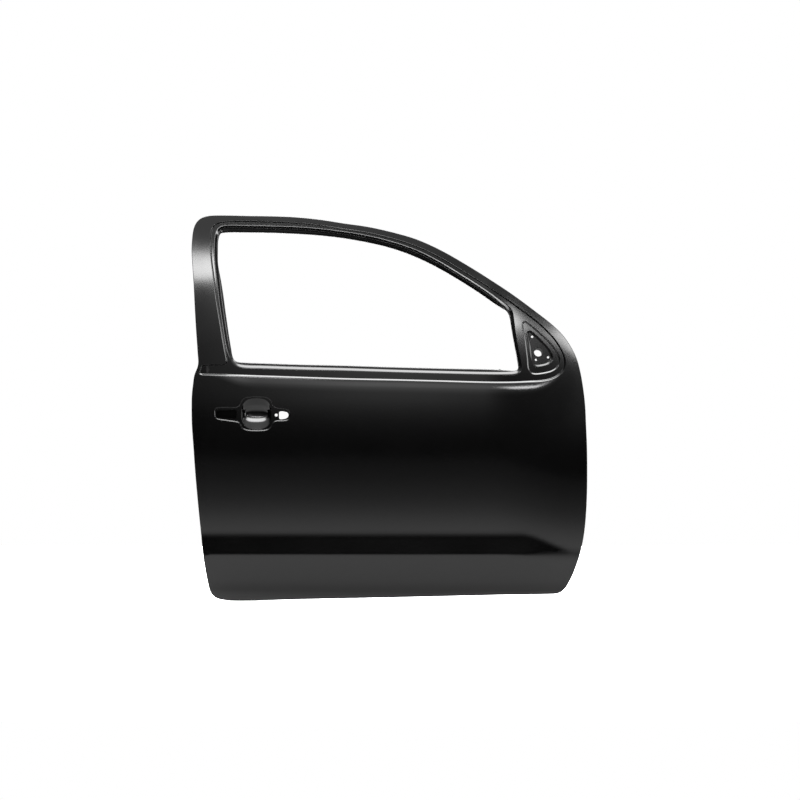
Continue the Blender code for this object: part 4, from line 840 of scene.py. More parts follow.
@dataclass(frozen=True)
class PrimerFinish:
    """Electro-dip primer: a black film with a fine skin and an uneven gloss."""

    name: str
    tint: Tint
    roughness: float = 0.2
    gloss_spread: float = 0.04
    grain: float = 0.0022
    grain_height: float = 0.000004
    wave_height: float = 0.00002
    specular: float = 0.5
    refraction: float = 1.5
    tint_range: tuple[float, float] = (0.85, 1.15)
    noise_range: tuple[float, float] = (0.3, 0.7)
    cloud_noise: tuple[float, float] = (7.0, 3.0)
    tint_noise: tuple[float, float] = (55.0, 4.0)
    wave_noise: tuple[float, float] = (22.0, 1.0)
    grain_detail: float = 2.0

    def material(self) -> bpy.types.Material:
        """Build the finish as a node material.

        Returns:
            The material.
        """
        material = bpy.data.materials.new(self.name)
        material.use_nodes = True
        tree = material.node_tree
        place = add_node(tree, "ShaderNodeTexCoord").outputs["Object"]

        def noise(scale: float, detail: float) -> bpy.types.NodeSocket:
            """Noise of a scale on the piece's own coordinates."""
            inputs = {"Scale": scale, "Detail": detail, "Vector": place}
            return add_node(tree, "ShaderNodeTexNoise", inputs).outputs["Fac"]

        def spread(source: bpy.types.NodeSocket, low: float,
                   high: float) -> bpy.types.NodeSocket:
            """Noise brought between two values."""
            least, most = self.noise_range
            inputs = {"Value": source, "From Min": least, "From Max": most, "To Min": low,
                      "To Max": high}
            return add_node(tree, "ShaderNodeMapRange", inputs).outputs["Result"]

        gloss = spread(noise(*self.cloud_noise), self.roughness - self.gloss_spread,
                       self.roughness + self.gloss_spread)
        dark, pale = ((*(c * share for c in self.tint.value), 1) for share in self.tint_range)
        mottle = spread(noise(*self.tint_noise), 0.0, 1.0)
        blend = add_node(tree, "ShaderNodeMix", {"Factor": mottle, "A": dark, "B": pale},
                         data_type="RGBA")
        waves = add_node(tree, "ShaderNodeBump", {
            "Distance": self.wave_height, "Height": noise(*self.wave_noise)})
        grain = add_node(tree, "ShaderNodeBump", {
            "Distance": self.grain_height, "Height": noise(1 / self.grain, self.grain_detail),
            "Normal": waves.outputs["Normal"]})
        feed(tree, tree.nodes["Principled BSDF"], {
            "IOR": self.refraction, "Specular IOR Level": self.specular, "Roughness": gloss,
            "Base Color": blend.outputs["Result"], "Normal": grain.outputs["Normal"]})
        return material


@dataclass(frozen=True)
class PaintShop:
    """The finishes that the door's pieces share."""

    skin: PrimerFinish = PrimerFinish("skin_primer", Tint.SKIN, roughness=0.12,
                                      gloss_spread=0.02, grain_height=0.0000015,
                                      wave_height=0.000008)
    panel: PrimerFinish = PrimerFinish("panel_primer", Tint.PANEL, roughness=0.18)
    steel: PrimerFinish = PrimerFinish("reinforcement_primer", Tint.STEEL, roughness=0.26,
                                       gloss_spread=0.06, grain=0.0015)
    nut: PrimerFinish = PrimerFinish("nut_primer", Tint.STEEL, roughness=0.34, gloss_spread=0.08,
                                     grain=0.0012)
    weld: PrimerFinish = PrimerFinish("weld_mark_primer", Tint.WELD, roughness=0.38,
                                      gloss_spread=0.1, grain=0.0006, grain_height=0.00002)
    sealer: PrimerFinish = PrimerFinish("hem_sealer", Tint.SEALER, roughness=0.5,
                                        gloss_spread=0.08, grain=0.0011, grain_height=0.00006)


def take_stage(piece: bpy.types.Object, material: bpy.types.Material,
               replaces: Iterable[str] = ()) -> None:
    """Dress a finished piece and give it its place in the frame.

    Args:
        piece: The object, at the origin.
        material: Its finish.
        replaces: The CAD nodes that it stands for.
    """
    piece.data.materials.clear()
    piece.data.materials.append(material)
    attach(piece, BODY)
    if replaces:
        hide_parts(*replaces)
    log.info("%s: %d faces", piece.name, len(piece.data.polygons))


@dataclass
class OuterSkin:
    """The outer panel: hem, window recess, sail steps and handle recess.

    Cuts say how far a section's corners are cut back before they are rounded in some steps.
    """

    spacing: float = 0.0065
    corner_steps: int = 5
    # Hem, which is bare of its flat where the belt's end strip stands
    hem_steps: int = 6
    hem_return: float = 0.009
    hem_flat: float = 0.012
    strip_half: float = 0.032
    strip_power: int = 6
    strip_margin: float = 0.001
    strip_above: float = 0.003
    strip_reach: float = 0.1
    # Crease round the window, with the roll below the belt
    crease_steps: int = 6
    roll: float = 0.034
    roll_slope: float = 0.19
    roll_shares: tuple[float, ...] = (1.0, 0.75, 0.5, 0.25, 0.0)
    roll_top: tuple[float, float] = (-0.72, 0.03)
    roll_rear: tuple[float, float] = (0.05, 0.12)
    roll_front: tuple[float, float] = (-1.12, 0.09)
    roll_softening: int = 30
    crease_edge: float = 0.003
    crease_wall: float = 0.0040
    crease_foot: float = 0.0018
    crease_cuts: tuple[float, ...] = (0.004, 0.004, 0.004, 0.0030, 0.0016)
    # Ledge and flange of the window opening
    ledge_edge: float = 0.0014
    ledge_radius: float = 0.0025
    ledge_round: float = 0.004
    ledge_share: float = 0.8
    ease_corner: float = 0.4
    foot_start: float = 0.0105
    foot_rounds: int = 2
    foot_end: float = 0.0145
    sill_rise: float = 0.017
    sill_flange: float = 0.005
    sill_roll: float = 0.0045
    sill_turns: tuple[tuple[float, float], ...] = ((0.3, 0.5), (0.3, 1.2))
    lip_lean: float = 0.33
    lip_rounds: int = 3
    lip_turn: float = 0.0002
    lip_cuts: tuple[float, ...] = (0.0018, 0.0012, 0.0008)
    lip_steps: int = 8
    lip_width: float = 0.024
    # Mirror sail
    step_cut: float = 0.0012
    step_spacing: float = 0.004
    edge_share: float = 1.5
    sail_step: float = 0.003
    sail_wall: float = 0.0034
    seat_wall: float = 0.0055
    seat_hole: float = 0.026
    seat_points: int = 48
    bolt_hole: float = 0.007
    hole_points: int = 24
    # Handle recess; the cup's shares are of its width, height and depth
    recess_length: float = 0.225
    recess_height: float = 0.103
    pad_depth: float = 0.0025
    pad_wall: float = 0.0016
    pad_cut: float = 0.0016
    pad_spacing: float = 0.0035
    cup_width: float = 0.0905
    cup_height: float = 0.094
    cup_squareness: float = 2.7
    cup_depth: float = 0.022
    cup_shares: tuple[tuple[float, float, float], ...] = (
        (1.0, 1.0, 0), (0.98, 0.97, 0.03), (0.95, 0.75, 0.24), (0.88, 0.52, 0.46),
        (0.72, 0.27, 0.90), (0.36, 0.05, 1))
    cup_cuts: tuple[float, ...] = (0.001, 0.003, 0.004, 0.006)
    cup_points: int = 96
    slot_spacing: tuple[float, float] = (0.0025, 0.002)
    lock_hole: float = 0.009
    # Distance between the points that fill each face
    skin_grid: float = 0.0115
    recess_grid: float = 0.010
    sail_grid: float = 0.012
    pad_grid: float = 0.007
    cup_grid: float = 0.008

    def seat(self, u: Array, w: Array) -> Array:
        """Depth of the flat mirror seat."""
        cu, cw = FORM.on_door((MIRROR_SEAT_SHARE,))[0]
        reach = self.foot_end
        along = (FORM.skin(cu + reach, cw) - FORM.skin(cu - reach, cw)) / (2 * reach)
        up = (FORM.skin(cu, cw + reach) - FORM.skin(cu, cw - reach)) / (2 * reach)
        base = FORM.recess(cu, cw) + 2 * self.sail_step
        return base + along * (u - cu) + up * (w - cw)

    def pad(self, u: Array, w: Array) -> Array:
        """Depth of the handle recess beside its cup."""
        return FORM.skin(u, w) + self.pad_depth

    def on_handle(self, shares: Sequence[Sequence[float]]) -> Array:
        """Plan points from shares of the handle recess."""
        centre = FORM.on_door((HANDLE_SHARE,))[0]
        return centre + np.array(shares) * (self.recess_length, self.recess_height)

    def foot_level(self, u: Array, w: Array, deep: Array) -> Array:
        """Depth of the flange round the window.

        Args:
            u: Places along the door.
            w: Heights.
            deep: One where it lies on the inner panel, nought at the sill.

        Returns:
            The depths.
        """
        slope = (FORM.inner(u, w + STEP) - FORM.inner(u, w - STEP)) / (2 * STEP)
        frame = FORM.inner(u, w) - FORM.stack * np.hypot(1, slope)
        sill = FORM.recess(u, w) + self.sill_flange
        return sill + (frame - sill) * deep

    def grow_hem(self, sheet: PressedSheet) -> Array:
        """Fold the edge round the inner panel's flange.

        Args:
            sheet: The sheet to grow.

        Returns:
            The ring where the hem meets the panel.
        """
        edge = hem_edge(self.spacing)
        u, w = edge[:, 0], edge[:, 1]
        strip_end = FORM.belt[0] + self.strip_above
        strip = np.exp(-((w - strip_end) / self.strip_half) ** self.strip_power)
        strip = strip * (u < self.strip_reach)
        flat = inset(edge, self.hem_flat + (self.strip_margin - self.hem_flat) * strip)
        inboard = -slope_normals(u, w, FORM.skin)
        side = outward(edge)
        side = np.stack([side[:, 0], np.zeros(len(edge)), side[:, 1]], axis=1)
        side -= inboard * np.einsum("ij,ij->i", side, inboard)[:, None]
        rim = laid(edge, FORM.skin)
        stack = FORM.stack
        levels = [laid(flat, FORM.skin),
                  rim + side * stack, rim + side * stack + inboard * 2 * stack,
                  rim + inboard * 2 * stack - side * self.hem_return]
        first, _ = sheet.section(levels, (stack, stack), self.hem_steps, outwards=True)
        sheet.settle(first, FORM.skin)
        return first

    def grow_crease(self, sheet: PressedSheet) -> tuple[Array, Array]:
        """Sweep the step that rings the window, with the roll below the belt.

        Args:
            sheet: The sheet to grow.

        Returns:
            The rings on the skin and on the recess's floor.
        """
        crease = even_loop(FORM.on_door(CREASE_SHARES), self.spacing)
        side = outward(crease)
        u, w = crease[:, 0], crease[:, 1]
        below = np.clip(-side[:, 1], 0, 1) ** 2 * ease(-w, *self.roll_top)
        below = below * ease(u, *self.roll_rear) * ease(-u, *self.roll_front)
        for _ in range(self.roll_softening):
            below = (np.roll(below, 1) + 2 * below + np.roll(below, -1)) / 4
        width = self.crease_edge + self.roll * below
        levels = []
        for share in self.roll_shares:
            extra = self.roll_slope * below * width * (1 - share) ** 2 / 2
            levels.append(laid(inset(crease, -width * share), FORM.skin, extra))
        for distance in (self.crease_wall, self.crease_wall + self.crease_foot):
            levels.append(laid(inset(crease, distance), FORM.recess))
        first, last = sheet.section(levels, self.crease_cuts, self.crease_steps)
        sheet.settle(first, FORM.skin)
        sheet.settle(last, FORM.recess)
        return first, last

    def grow_window(self, sheet: PressedSheet) -> Array:
        """Turn the ledge down into the flange round the window.

        Args:
            sheet: The sheet to grow.

        Returns:
            The ring on the recess's floor.
        """
        def reach(loop: Array) -> Array:
            """How far in the flange's tip lies, point by point."""
            tallest = self.sill_rise + (self.foot_end - self.sill_rise) * loop[:, 2]
            return np.minimum(tallest, loop[:, 3] * self.lip_width)

        coarse = window_loop()
        foot = inset(coarse, self.foot_start, self.foot_rounds, self.ease_corner)
        tip = inset(coarse, reach(coarse), self.lip_rounds, self.ease_corner)
        counts = np.full(len(coarse), WINDOW_SPLITS)
        outer, near, far = (spline(loop, counts) for loop in (coarse, foot, tip))
        rows = [laid(inset(outer, distance), FORM.recess)
                for distance in (-self.ledge_edge, self.ledge_radius * self.ledge_share)]
        for loop, away in ((near, self.foot_start), (far, reach(far))):
            u, w, deep = loop[:, 0], loop[:, 1], loop[:, 2]
            depth = self.foot_level(u, w, deep)
            depth += self.lip_lean * (away - self.ledge_radius) * deep
            rows.append(np.stack([u, depth, w], axis=1))
        flat, shut = rows[-1], 1 - far[:, 2]
        for along, inward in self.sill_turns:
            rolled = flat.copy()
            rolled[:, (0, 2)] -= outward(far) * (self.sill_roll * along * shut)[:, None]
            rolled[:, 1] += self.sill_roll * inward * shut + self.lip_turn * inward
            rows.append(rolled)
        first, _ = sheet.section(rows, (self.ledge_round, *self.lip_cuts), self.lip_steps)
        sheet.settle(first, FORM.recess)
        return first

    def grow_step(self, sheet: PressedSheet, outline: Array, above: Depth, below: Depth,
                  wall: float, cut: float, spacing: float) -> tuple[Array, Array]:
        """Step down from one surface to another inside an outline.

        Args:
            sheet: The sheet to grow.
            outline: Points that the step follows.
            above: The surface outside.
            below: The surface inside.
            wall: Plan width of the wall.
            cut: How far its corners are cut back.
            spacing: Distance between points.

        Returns:
            The outer and the inner ring.
        """
        loop = even_loop(outline, spacing, softening=2)
        edge = min(cut * self.edge_share, wall)
        levels = ((-edge, above), (0, above), (wall, below), (wall + edge, below))
        rows = [laid(inset(loop, distance), depth_at) for distance, depth_at in levels]
        first, last = sheet.section(rows, (cut, cut), self.corner_steps)
        sheet.settle(first, above)
        sheet.settle(last, below)
        return first, last

    def grow_sail(self, sheet: PressedSheet) -> Array:
        """Press the mirror sail's two steps and its flat seat.

        Args:
            sheet: The sheet to grow.

        Returns:
            The ring on the recess's floor.
        """
        def middle(u: Array, w: Array) -> Array:
            """Depth of the sail's first step."""
            return FORM.recess(u, w) + self.sail_step

        size = (self.step_cut, self.step_spacing)
        outer, low = self.grow_step(sheet, FORM.on_door(SAIL_OUTER_SHARES), FORM.recess, middle,
                                    self.sail_wall, *size)
        lip, plate = self.grow_step(sheet, FORM.on_door(SAIL_INNER_SHARES), middle, self.seat,
                                    self.seat_wall, *size)
        sheet.fill(low, [lip], middle, self.sail_grid)
        holes = [sheet.level(loop, self.seat) for loop in self.mirror_holes()]
        sheet.fill(plate, holes, self.seat, self.sail_grid)
        return outer

    def mirror_holes(self) -> list[Array]:
        """Outlines of the mirror's holes."""
        seat = FORM.on_door((MIRROR_SEAT_SHARE,))[0]
        loops = [round_loop(seat, self.seat_hole, self.seat_hole, self.seat_points)]
        for place in FORM.on_door(MIRROR_BOLT_SHARES):
            loops.append(round_loop(place, self.bolt_hole, self.bolt_hole, self.hole_points))
        return loops

    def grow_handle(self, sheet: PressedSheet) -> Array:
        """Press the handle recess: pads, cup and holes.

        Args:
            sheet: The sheet to grow.

        Returns:
            The ring on the skin.
        """
        rim, pad = self.grow_step(sheet, self.on_handle(HANDLE_OUTLINE_SHARES), FORM.skin,
                                  self.pad, self.pad_wall, self.pad_cut, self.pad_spacing)
        centre = FORM.on_door((HANDLE_SHARE,))[0]
        rows = []
        for width_share, height_share, depth_share in self.cup_shares:
            loop = round_loop(centre, self.cup_width * width_share,
                              self.cup_height * height_share, self.cup_points,
                              self.cup_squareness)
            rows.append(laid(loop, self.pad, (self.cup_depth - self.pad_depth) * depth_share))
        cup, floor = sheet.section(rows, self.cup_cuts, self.corner_steps)
        sheet.settle(cup, self.pad)
        sheet.settle(floor, FORM.skin)
        sheet.fill(floor, [], lambda u, w: FORM.skin(u, w) + self.cup_depth, self.cup_grid)
        lock = self.on_handle((LOCK_SHARE,))[0]
        rear, front = self.slot_spacing
        loops = [even_loop(self.on_handle(REAR_SLOT_SHARES), rear, softening=1),
                 even_loop(self.on_handle(FRONT_SLOT_SHARES), front, softening=1),
                 round_loop(lock, self.lock_hole, self.lock_hole, self.hole_points)]
        holes = [sheet.level(loop, self.pad) for loop in loops]
        sheet.fill(pad, [cup, *holes], self.pad, self.pad_grid)
        return rim

    def build(self) -> bpy.types.Object:
        """Build the whole skin.

        Returns:
            The object.
        """
        sheet = PressedSheet()
        rim = self.grow_hem(sheet)
        crease, floor = self.grow_crease(sheet)
        ledge = self.grow_window(sheet)
        sail = self.grow_sail(sheet)
        handle = self.grow_handle(sheet)
        sheet.fill(rim, [crease, handle], FORM.skin, self.skin_grid)
        sheet.fill(floor, [ledge, sail], FORM.recess, self.recess_grid)
        return sheet.build("door_skin")

    def dress(self, shop: PaintShop) -> None:
        """Build and dress the skin."""
        take_stage(self.build(), shop.skin.material(), ("outer_skin",))


@dataclass
class InnerPanel:
    """The inner pressing: flange, walls, face, openings and beads.

    The walls' insets are given for the body below the belt and for the frame above it.
    """

    spacing: float = 0.008
    outline_edge: float = 0.030
    # Flange of the window opening
    lip_width: float = 0.024
    lip_weld_share: float = 0.86
    lip_turn: float = 0.007
    lip_lean: float = 0.33
    lip_rounds: int = 4
    lip_steps: int = 4
    lip_cuts: tuple[float, float] = (0.001, 0.0022)
    ease_corner: float = 0.4
    ledge_radius: float = 0.0025
    # Flange in the hem and the walls
    hem_flat: float = 0.012
    wall_insets: tuple[tuple[float, float], ...] = (
        (0.012, 0.012), (0.014, 0.0128), (0.034, 0.0146), (0.036, 0.016), (0.048, 0.0186))
    wall_round: float = 0.012
    wall_rounds: int = 14
    wall_steps: int = 5
    wall_cuts: tuple[float, ...] = (0.002, 0.004, 0.005, 0.004)
    shallow_part: float = 3.0
    shallow_swell: float = 1.25
    # Openings and beads of the face
    pocket_steps: int = 4
    pocket_edge: float = 0.002
    pocket_cut: float = 0.002
    pocket_spacing: float = 0.007
    access_rim: float = 0.010
    access_wall: float = 0.006
    rim_rise: float = 0.004
    speaker_hole: float = 0.150
    speaker_rim: float = 0.014
    speaker_wall: float = 0.014 / 3
    speaker_points: int = 96
    sail_spacing: float = 0.005
    bead_rise: float = 0.005
    bead_wall: float = 0.007
    bead_cut: float = 0.003
    bead_grid: float = 0.012
    face_grid: float = 0.0125
    # Holes of the hinge and latch walls and the drains
    upper_hinge: float = 0.532
    lower_hinge: float = 0.276
    hinge_depth: float = 0.084
    hinge_bolt: float = 0.011
    hinge_points: int = 28
    hinge_pitch: float = 0.056
    check_height: float = 0.436
    check_slot: tuple[float, float] = (0.022, 0.034)
    slot_points: int = 40
    slot_squareness: float = 6.0
    bolt_points: int = 24
    check_bolt: float = 0.007
    check_pitch: float = 0.060
    latch_height: float = 0.505
    latch_depth: float = 0.088
    latch_slot: tuple[float, float] = (0.030, 0.046)
    latch_screw: float = 0.007
    latch_pitch: float = 0.084
    drain: tuple[float, float] = (0.026, 0.008)
    drain_points: int = 32
    drain_squareness: float = 4.0
    drain_depth: float = 0.086
    drain_height: float = 0.042
    cut_depth: float = 0.040

    def raised(self, rise: float) -> Depth:
        """The face's depth moved inboard by a rise."""
        return lambda u, w: FORM.inner(u, w) + rise

    def grow_walls(self, sheet: PressedSheet) -> Array:
        """Sweep the flange in the hem and the walls up to the face.

        Args:
            sheet: The sheet to grow.

        Returns:
            The ring on the face.
        """
        edge = hem_edge(self.outline_edge, softening=1)
        start, run = FORM.belt[0] - FORM.belt[1], FORM.belt[1]
        body = 1 - ease(edge[:, 1], start, run)
        coarse = [inset(edge, FORM.sheet)]
        for body_inset, frame_inset in self.wall_insets:
            distance = frame_inset + (body_inset - frame_inset) * body
            rounds = 1 if body_inset == self.hem_flat else self.wall_rounds
            coarse.append(inset(edge, distance, rounds, body))
        counts = np.full(len(edge), max(round(self.outline_edge / self.spacing), 1))
        fine = [spline(loop, counts) for loop in coarse]
        share = 1 - ease(fine[0][:, 1], start, run)
        for loop, more in zip(fine[3:], (0, 0, self.wall_round)):
            rear = (FORM.latch_inset + more) * share
            front = FORM.length - (FORM.hinge_inset + more) * share
            loop[:, 0] = np.clip(loop[:, 0], rear, front)
        shallow = FORM.frame_depth / self.shallow_part
        rows = []
        for k, loop in enumerate(fine):
            u, w = loop[:, 0], loop[:, 1]
            skin, face = FORM.skin(u, w), FORM.inner(u, w)
            depth = (skin + FORM.stack, skin + FORM.stack,
                     skin + shallow + (self.hem_flat - shallow / 2) * share,
                     skin + shallow * self.shallow_swell + self.hem_flat * share,
                     face - self.bead_rise + FORM.sheet, face)[k]
            rows.append(np.stack([u, depth, w], axis=1))
        _, last = sheet.section(rows, self.wall_cuts, self.wall_steps)
        sheet.settle(last, FORM.inner)
        return last

    def grow_lip(self, sheet: PressedSheet) -> Array:
        """Sweep the flange round the window opening.

        Args:
            sheet: The sheet to grow.

        Returns:
            The ring on the face.
        """
        coarse = window_loop()
        lip = coarse[:, 3] * self.lip_width
        loops = [inset(coarse, self.ledge_radius),
                 inset(coarse, lip * self.lip_weld_share, self.lip_rounds, self.ease_corner),
                 inset(coarse, lip, self.lip_rounds, self.ease_corner)]
        counts = np.full(len(coarse), WINDOW_SPLITS)
        fine = [spline(loop, counts) for loop in loops]
        rows = []
        weld = self.lip_weld_share
        for loop, far, rise in zip((*fine, fine[-1]), (0, weld, 1, 1), (0, 0, 0, self.lip_turn)):
            u, w = loop[:, 0], loop[:, 1]
            reach = loop[:, 3] * self.lip_width * far - self.ledge_radius * (far > 0)
            lean = self.lip_lean * reach * loop[:, 2]
            rows.append(np.stack([u, FORM.inner(u, w) + lean + rise, w], axis=1))
        first, _ = sheet.section(rows, self.lip_cuts, self.lip_steps)
        sheet.settle(first, FORM.inner)
        return first

    def grow_pocket(self, sheet: PressedSheet, loop: Array,
                    levels: Sequence[tuple[float, float]], cut: float) -> tuple[Array, Array]:
        """Step from the face along a section.

        Args:
            sheet: The sheet to grow.
            loop: The outline.
            levels: Pairs of an inset and a rise, past the outline.
            cut: How far its corners are cut back.

        Returns:
            The first and the last ring.
        """
        levels = ((-self.pocket_edge, 0), (0, 0), *levels)
        rows = [laid(inset(loop, distance), FORM.inner, rise) for distance, rise in levels]
        cuts = [cut] * (len(levels) - 2)
        first, last = sheet.section(rows, cuts, self.pocket_steps)
        sheet.settle(first, FORM.inner)
        sheet.settle(last, FORM.inner)
        return first, last

    def wall_cutters(self) -> bpy.types.Object:
        """Rods and blocks for the holes in the end walls and the drains.

        Returns:
            One object that holds them all.
        """
        places, faces = [], []

        def prism(loop: Array, centre: Sequence[float], along: int) -> None:
            """Add a prism of a plan loop along u or w.

            Args:
                loop: Its outline about nought.
                centre: Its middle in door coordinates.
                along: Which axis it runs along, nought for u and two for w.
            """
            first, count = len(places), len(loop)
            others = [k for k in range(3) if k != along]
            for end in (-1, 1):
                for point in loop:
                    place = np.array(centre, float)
                    place[others] += point
                    place[along] += end * self.cut_depth / 2
                    places.append(place - DOOR_ORIGIN)
            for i in range(count):
                j = (i + 1) % count
                faces.append((first + i, first + j, first + count + j, first + count + i))
            faces.append(tuple(range(first, first + count))[::-1])
            faces.append(tuple(range(first + count, first + 2 * count)))

        front, rear = FORM.length - FORM.hinge_inset, FORM.latch_inset
        for height in (self.upper_hinge, self.lower_hinge):
            for side in (-1, 1):
                prism(round_loop((0, 0), self.hinge_bolt, self.hinge_bolt, self.hinge_points),
                      (front, self.hinge_depth, height + side * self.hinge_pitch / 2), 0)
        squared = (self.slot_points, self.slot_squareness)
        prism(round_loop((0, 0), *self.check_slot, *squared),
              (front, self.hinge_depth, self.check_height), 0)
        prism(round_loop((0, 0), *self.latch_slot, *squared),
              (rear, self.latch_depth, self.latch_height), 0)
        for side in (-1, 1):
            prism(round_loop((0, 0), self.check_bolt, self.check_bolt, self.bolt_points),
                  (front, self.hinge_depth, self.check_height + side * self.check_pitch / 2), 0)
            prism(round_loop((0, 0), self.latch_screw, self.latch_screw, self.bolt_points),
                  (rear, self.latch_depth, self.latch_height + side * self.latch_pitch / 2), 0)
        for share in DRAIN_SHARES:
            prism(round_loop((0, 0), *self.drain, self.drain_points, self.drain_squareness),
                  (share * FORM.length, self.drain_depth, self.drain_height), 2)
        mesh = bpy.data.meshes.new("wall_cutters")
        mesh.from_pydata([tuple(p) for p in places], [], faces)
        mesh.update()
        cutter = link("wall_cutters", mesh)
        fix_facing(cutter)
        return cutter

    def build(self) -> bpy.types.Object:
        """Build the whole inner panel.

        Returns:
            The object.
        """
        sheet = PressedSheet()
        rim = self.grow_walls(sheet)
        holes = [self.grow_lip(sheet)]
        for shares in (REAR_ACCESS_SHARES, FRONT_ACCESS_SHARES):
            loop = even_loop(FORM.on_door(shares), self.pocket_spacing, softening=3)
            levels = ((self.access_wall, self.rim_rise), (self.access_rim, self.rim_rise))
            holes.append(self.grow_pocket(sheet, loop, levels, self.pocket_cut)[0])
        centre = FORM.on_door((SPEAKER_SHARE,))[0]
        outer = self.speaker_hole + 2 * self.speaker_rim
        loop = round_loop(centre, outer, outer, self.speaker_points)
        levels = ((self.speaker_wall, -self.rim_rise), (self.speaker_rim, -self.rim_rise))
        holes.append(self.grow_pocket(sheet, loop, levels, self.pocket_cut)[0])
        sail = even_loop(FORM.on_door(SAIL_ACCESS_SHARES), self.sail_spacing, softening=2)
        holes.append(sheet.level(sail, FORM.inner))
        for shares in BEAD_SHARES:
            loop = even_loop(FORM.on_door(shares), self.pocket_spacing, softening=3)
            levels = ((self.bead_wall, -self.bead_rise),
                      (self.bead_wall + self.pocket_edge, -self.bead_rise))
            first, last = self.grow_pocket(sheet, loop, levels, self.bead_cut)
            sheet.fill(last, [], self.raised(-self.bead_rise), self.bead_grid)
            holes.append(first)
        sheet.fill(rim, holes, FORM.inner, self.face_grid)
        return sheet.build("inner_door_panel", self.wall_cutters())

    def dress(self, shop: PaintShop) -> None:
        """Build and dress the inner panel."""
        take_stage(self.build(), shop.panel.material(), ("inner_panel",))


def fix_facing(piece: bpy.types.Object) -> None:
    """Turn a closed mesh's faces outwards."""
    bm = bmesh.new()
    bm.from_mesh(piece.data)
    bmesh.ops.recalc_face_normals(bm, faces=bm.faces)
    bm.to_mesh(piece.data)
    bm.free()


class NodeWork:
    """A Geometry Nodes tree under construction, with named inputs."""

    def __init__(self, name: str) -> None:
        """Start a tree with a geometry input and output.

        Args:
            name: The tree's name.
        """
        self.tree = bpy.data.node_groups.new(name, "GeometryNodeTree")
        self.sockets: dict[str, str] = {}
        for way in ("INPUT", "OUTPUT"):
            self.tree.interface.new_socket("Geometry", in_out=way,
                                           socket_type="NodeSocketGeometry")
        self.entry = self.tree.nodes.new("NodeGroupInput")

    def size(self, name: str, kind: str = "NodeSocketFloat") -> bpy.types.NodeSocket:
        """Add a named input.

        Args:
            name: Its name.
            kind: The socket's type.

        Returns:
            The socket inside the tree.
        """
        socket = self.tree.interface.new_socket(name, in_out="INPUT", socket_type=kind)
        self.sockets[name] = socket.identifier
        return self.entry.outputs[name]

    def add(self, kind: str, inputs: dict[int | str, object], out: int | str = 0,
            **settings: object) -> bpy.types.NodeSocket:
        """Add a node, with values or sockets on its inputs.

        Args:
            kind: The node's type; a geometry node's goes without its prefix.
            inputs: A value or a socket for each input's name or place.
            out: Which output to return.
            settings: The node's own properties.

        Returns:
            An output of the node.
        """
        prefix = "" if kind.startswith(("Function", "Shader")) else "GeometryNode"
        return add_node(self.tree, prefix + kind, inputs, **settings).outputs[out]

    def join(self, *parts: bpy.types.NodeSocket) -> bpy.types.NodeSocket:
        """Join several geometries."""
        node = self.tree.nodes.new("GeometryNodeJoinGeometry")
        for part in parts:
            self.tree.links.new(part, node.inputs["Geometry"])
        return node.outputs["Geometry"]

    def close(self, geometry: bpy.types.NodeSocket, finish: bpy.types.NodeSocket) -> None:
        """End in Realize Instances and Set Material.

        Args:
            geometry: What the tree has made.
            finish: The material's socket.
        """
        real = self.add("RealizeInstances", {"Geometry": geometry})
        dressed = self.add("SetMaterial", {"Geometry": real, "Material": finish})
        end = self.tree.nodes.new("NodeGroupOutput")
        self.tree.links.new(dressed, end.inputs[0])

    def make(self, name: str, start: bpy.types.Mesh,
             values: dict[str, object]) -> bpy.types.Object:
        """Run the tree on a mesh and keep the result as a plain mesh.

        Args:
            name: The piece's name.
            start: The mesh that goes in.
            values: A value for each named input.

        Returns:
            The piece.
        """
        carrier = link(name + "_carrier", start)
        modifier = carrier.modifiers.new("build", "NODES")
        modifier.node_group = self.tree
        for label, value in values.items():
            modifier[self.sockets[label]] = value
        return plain_mesh(carrier, name)


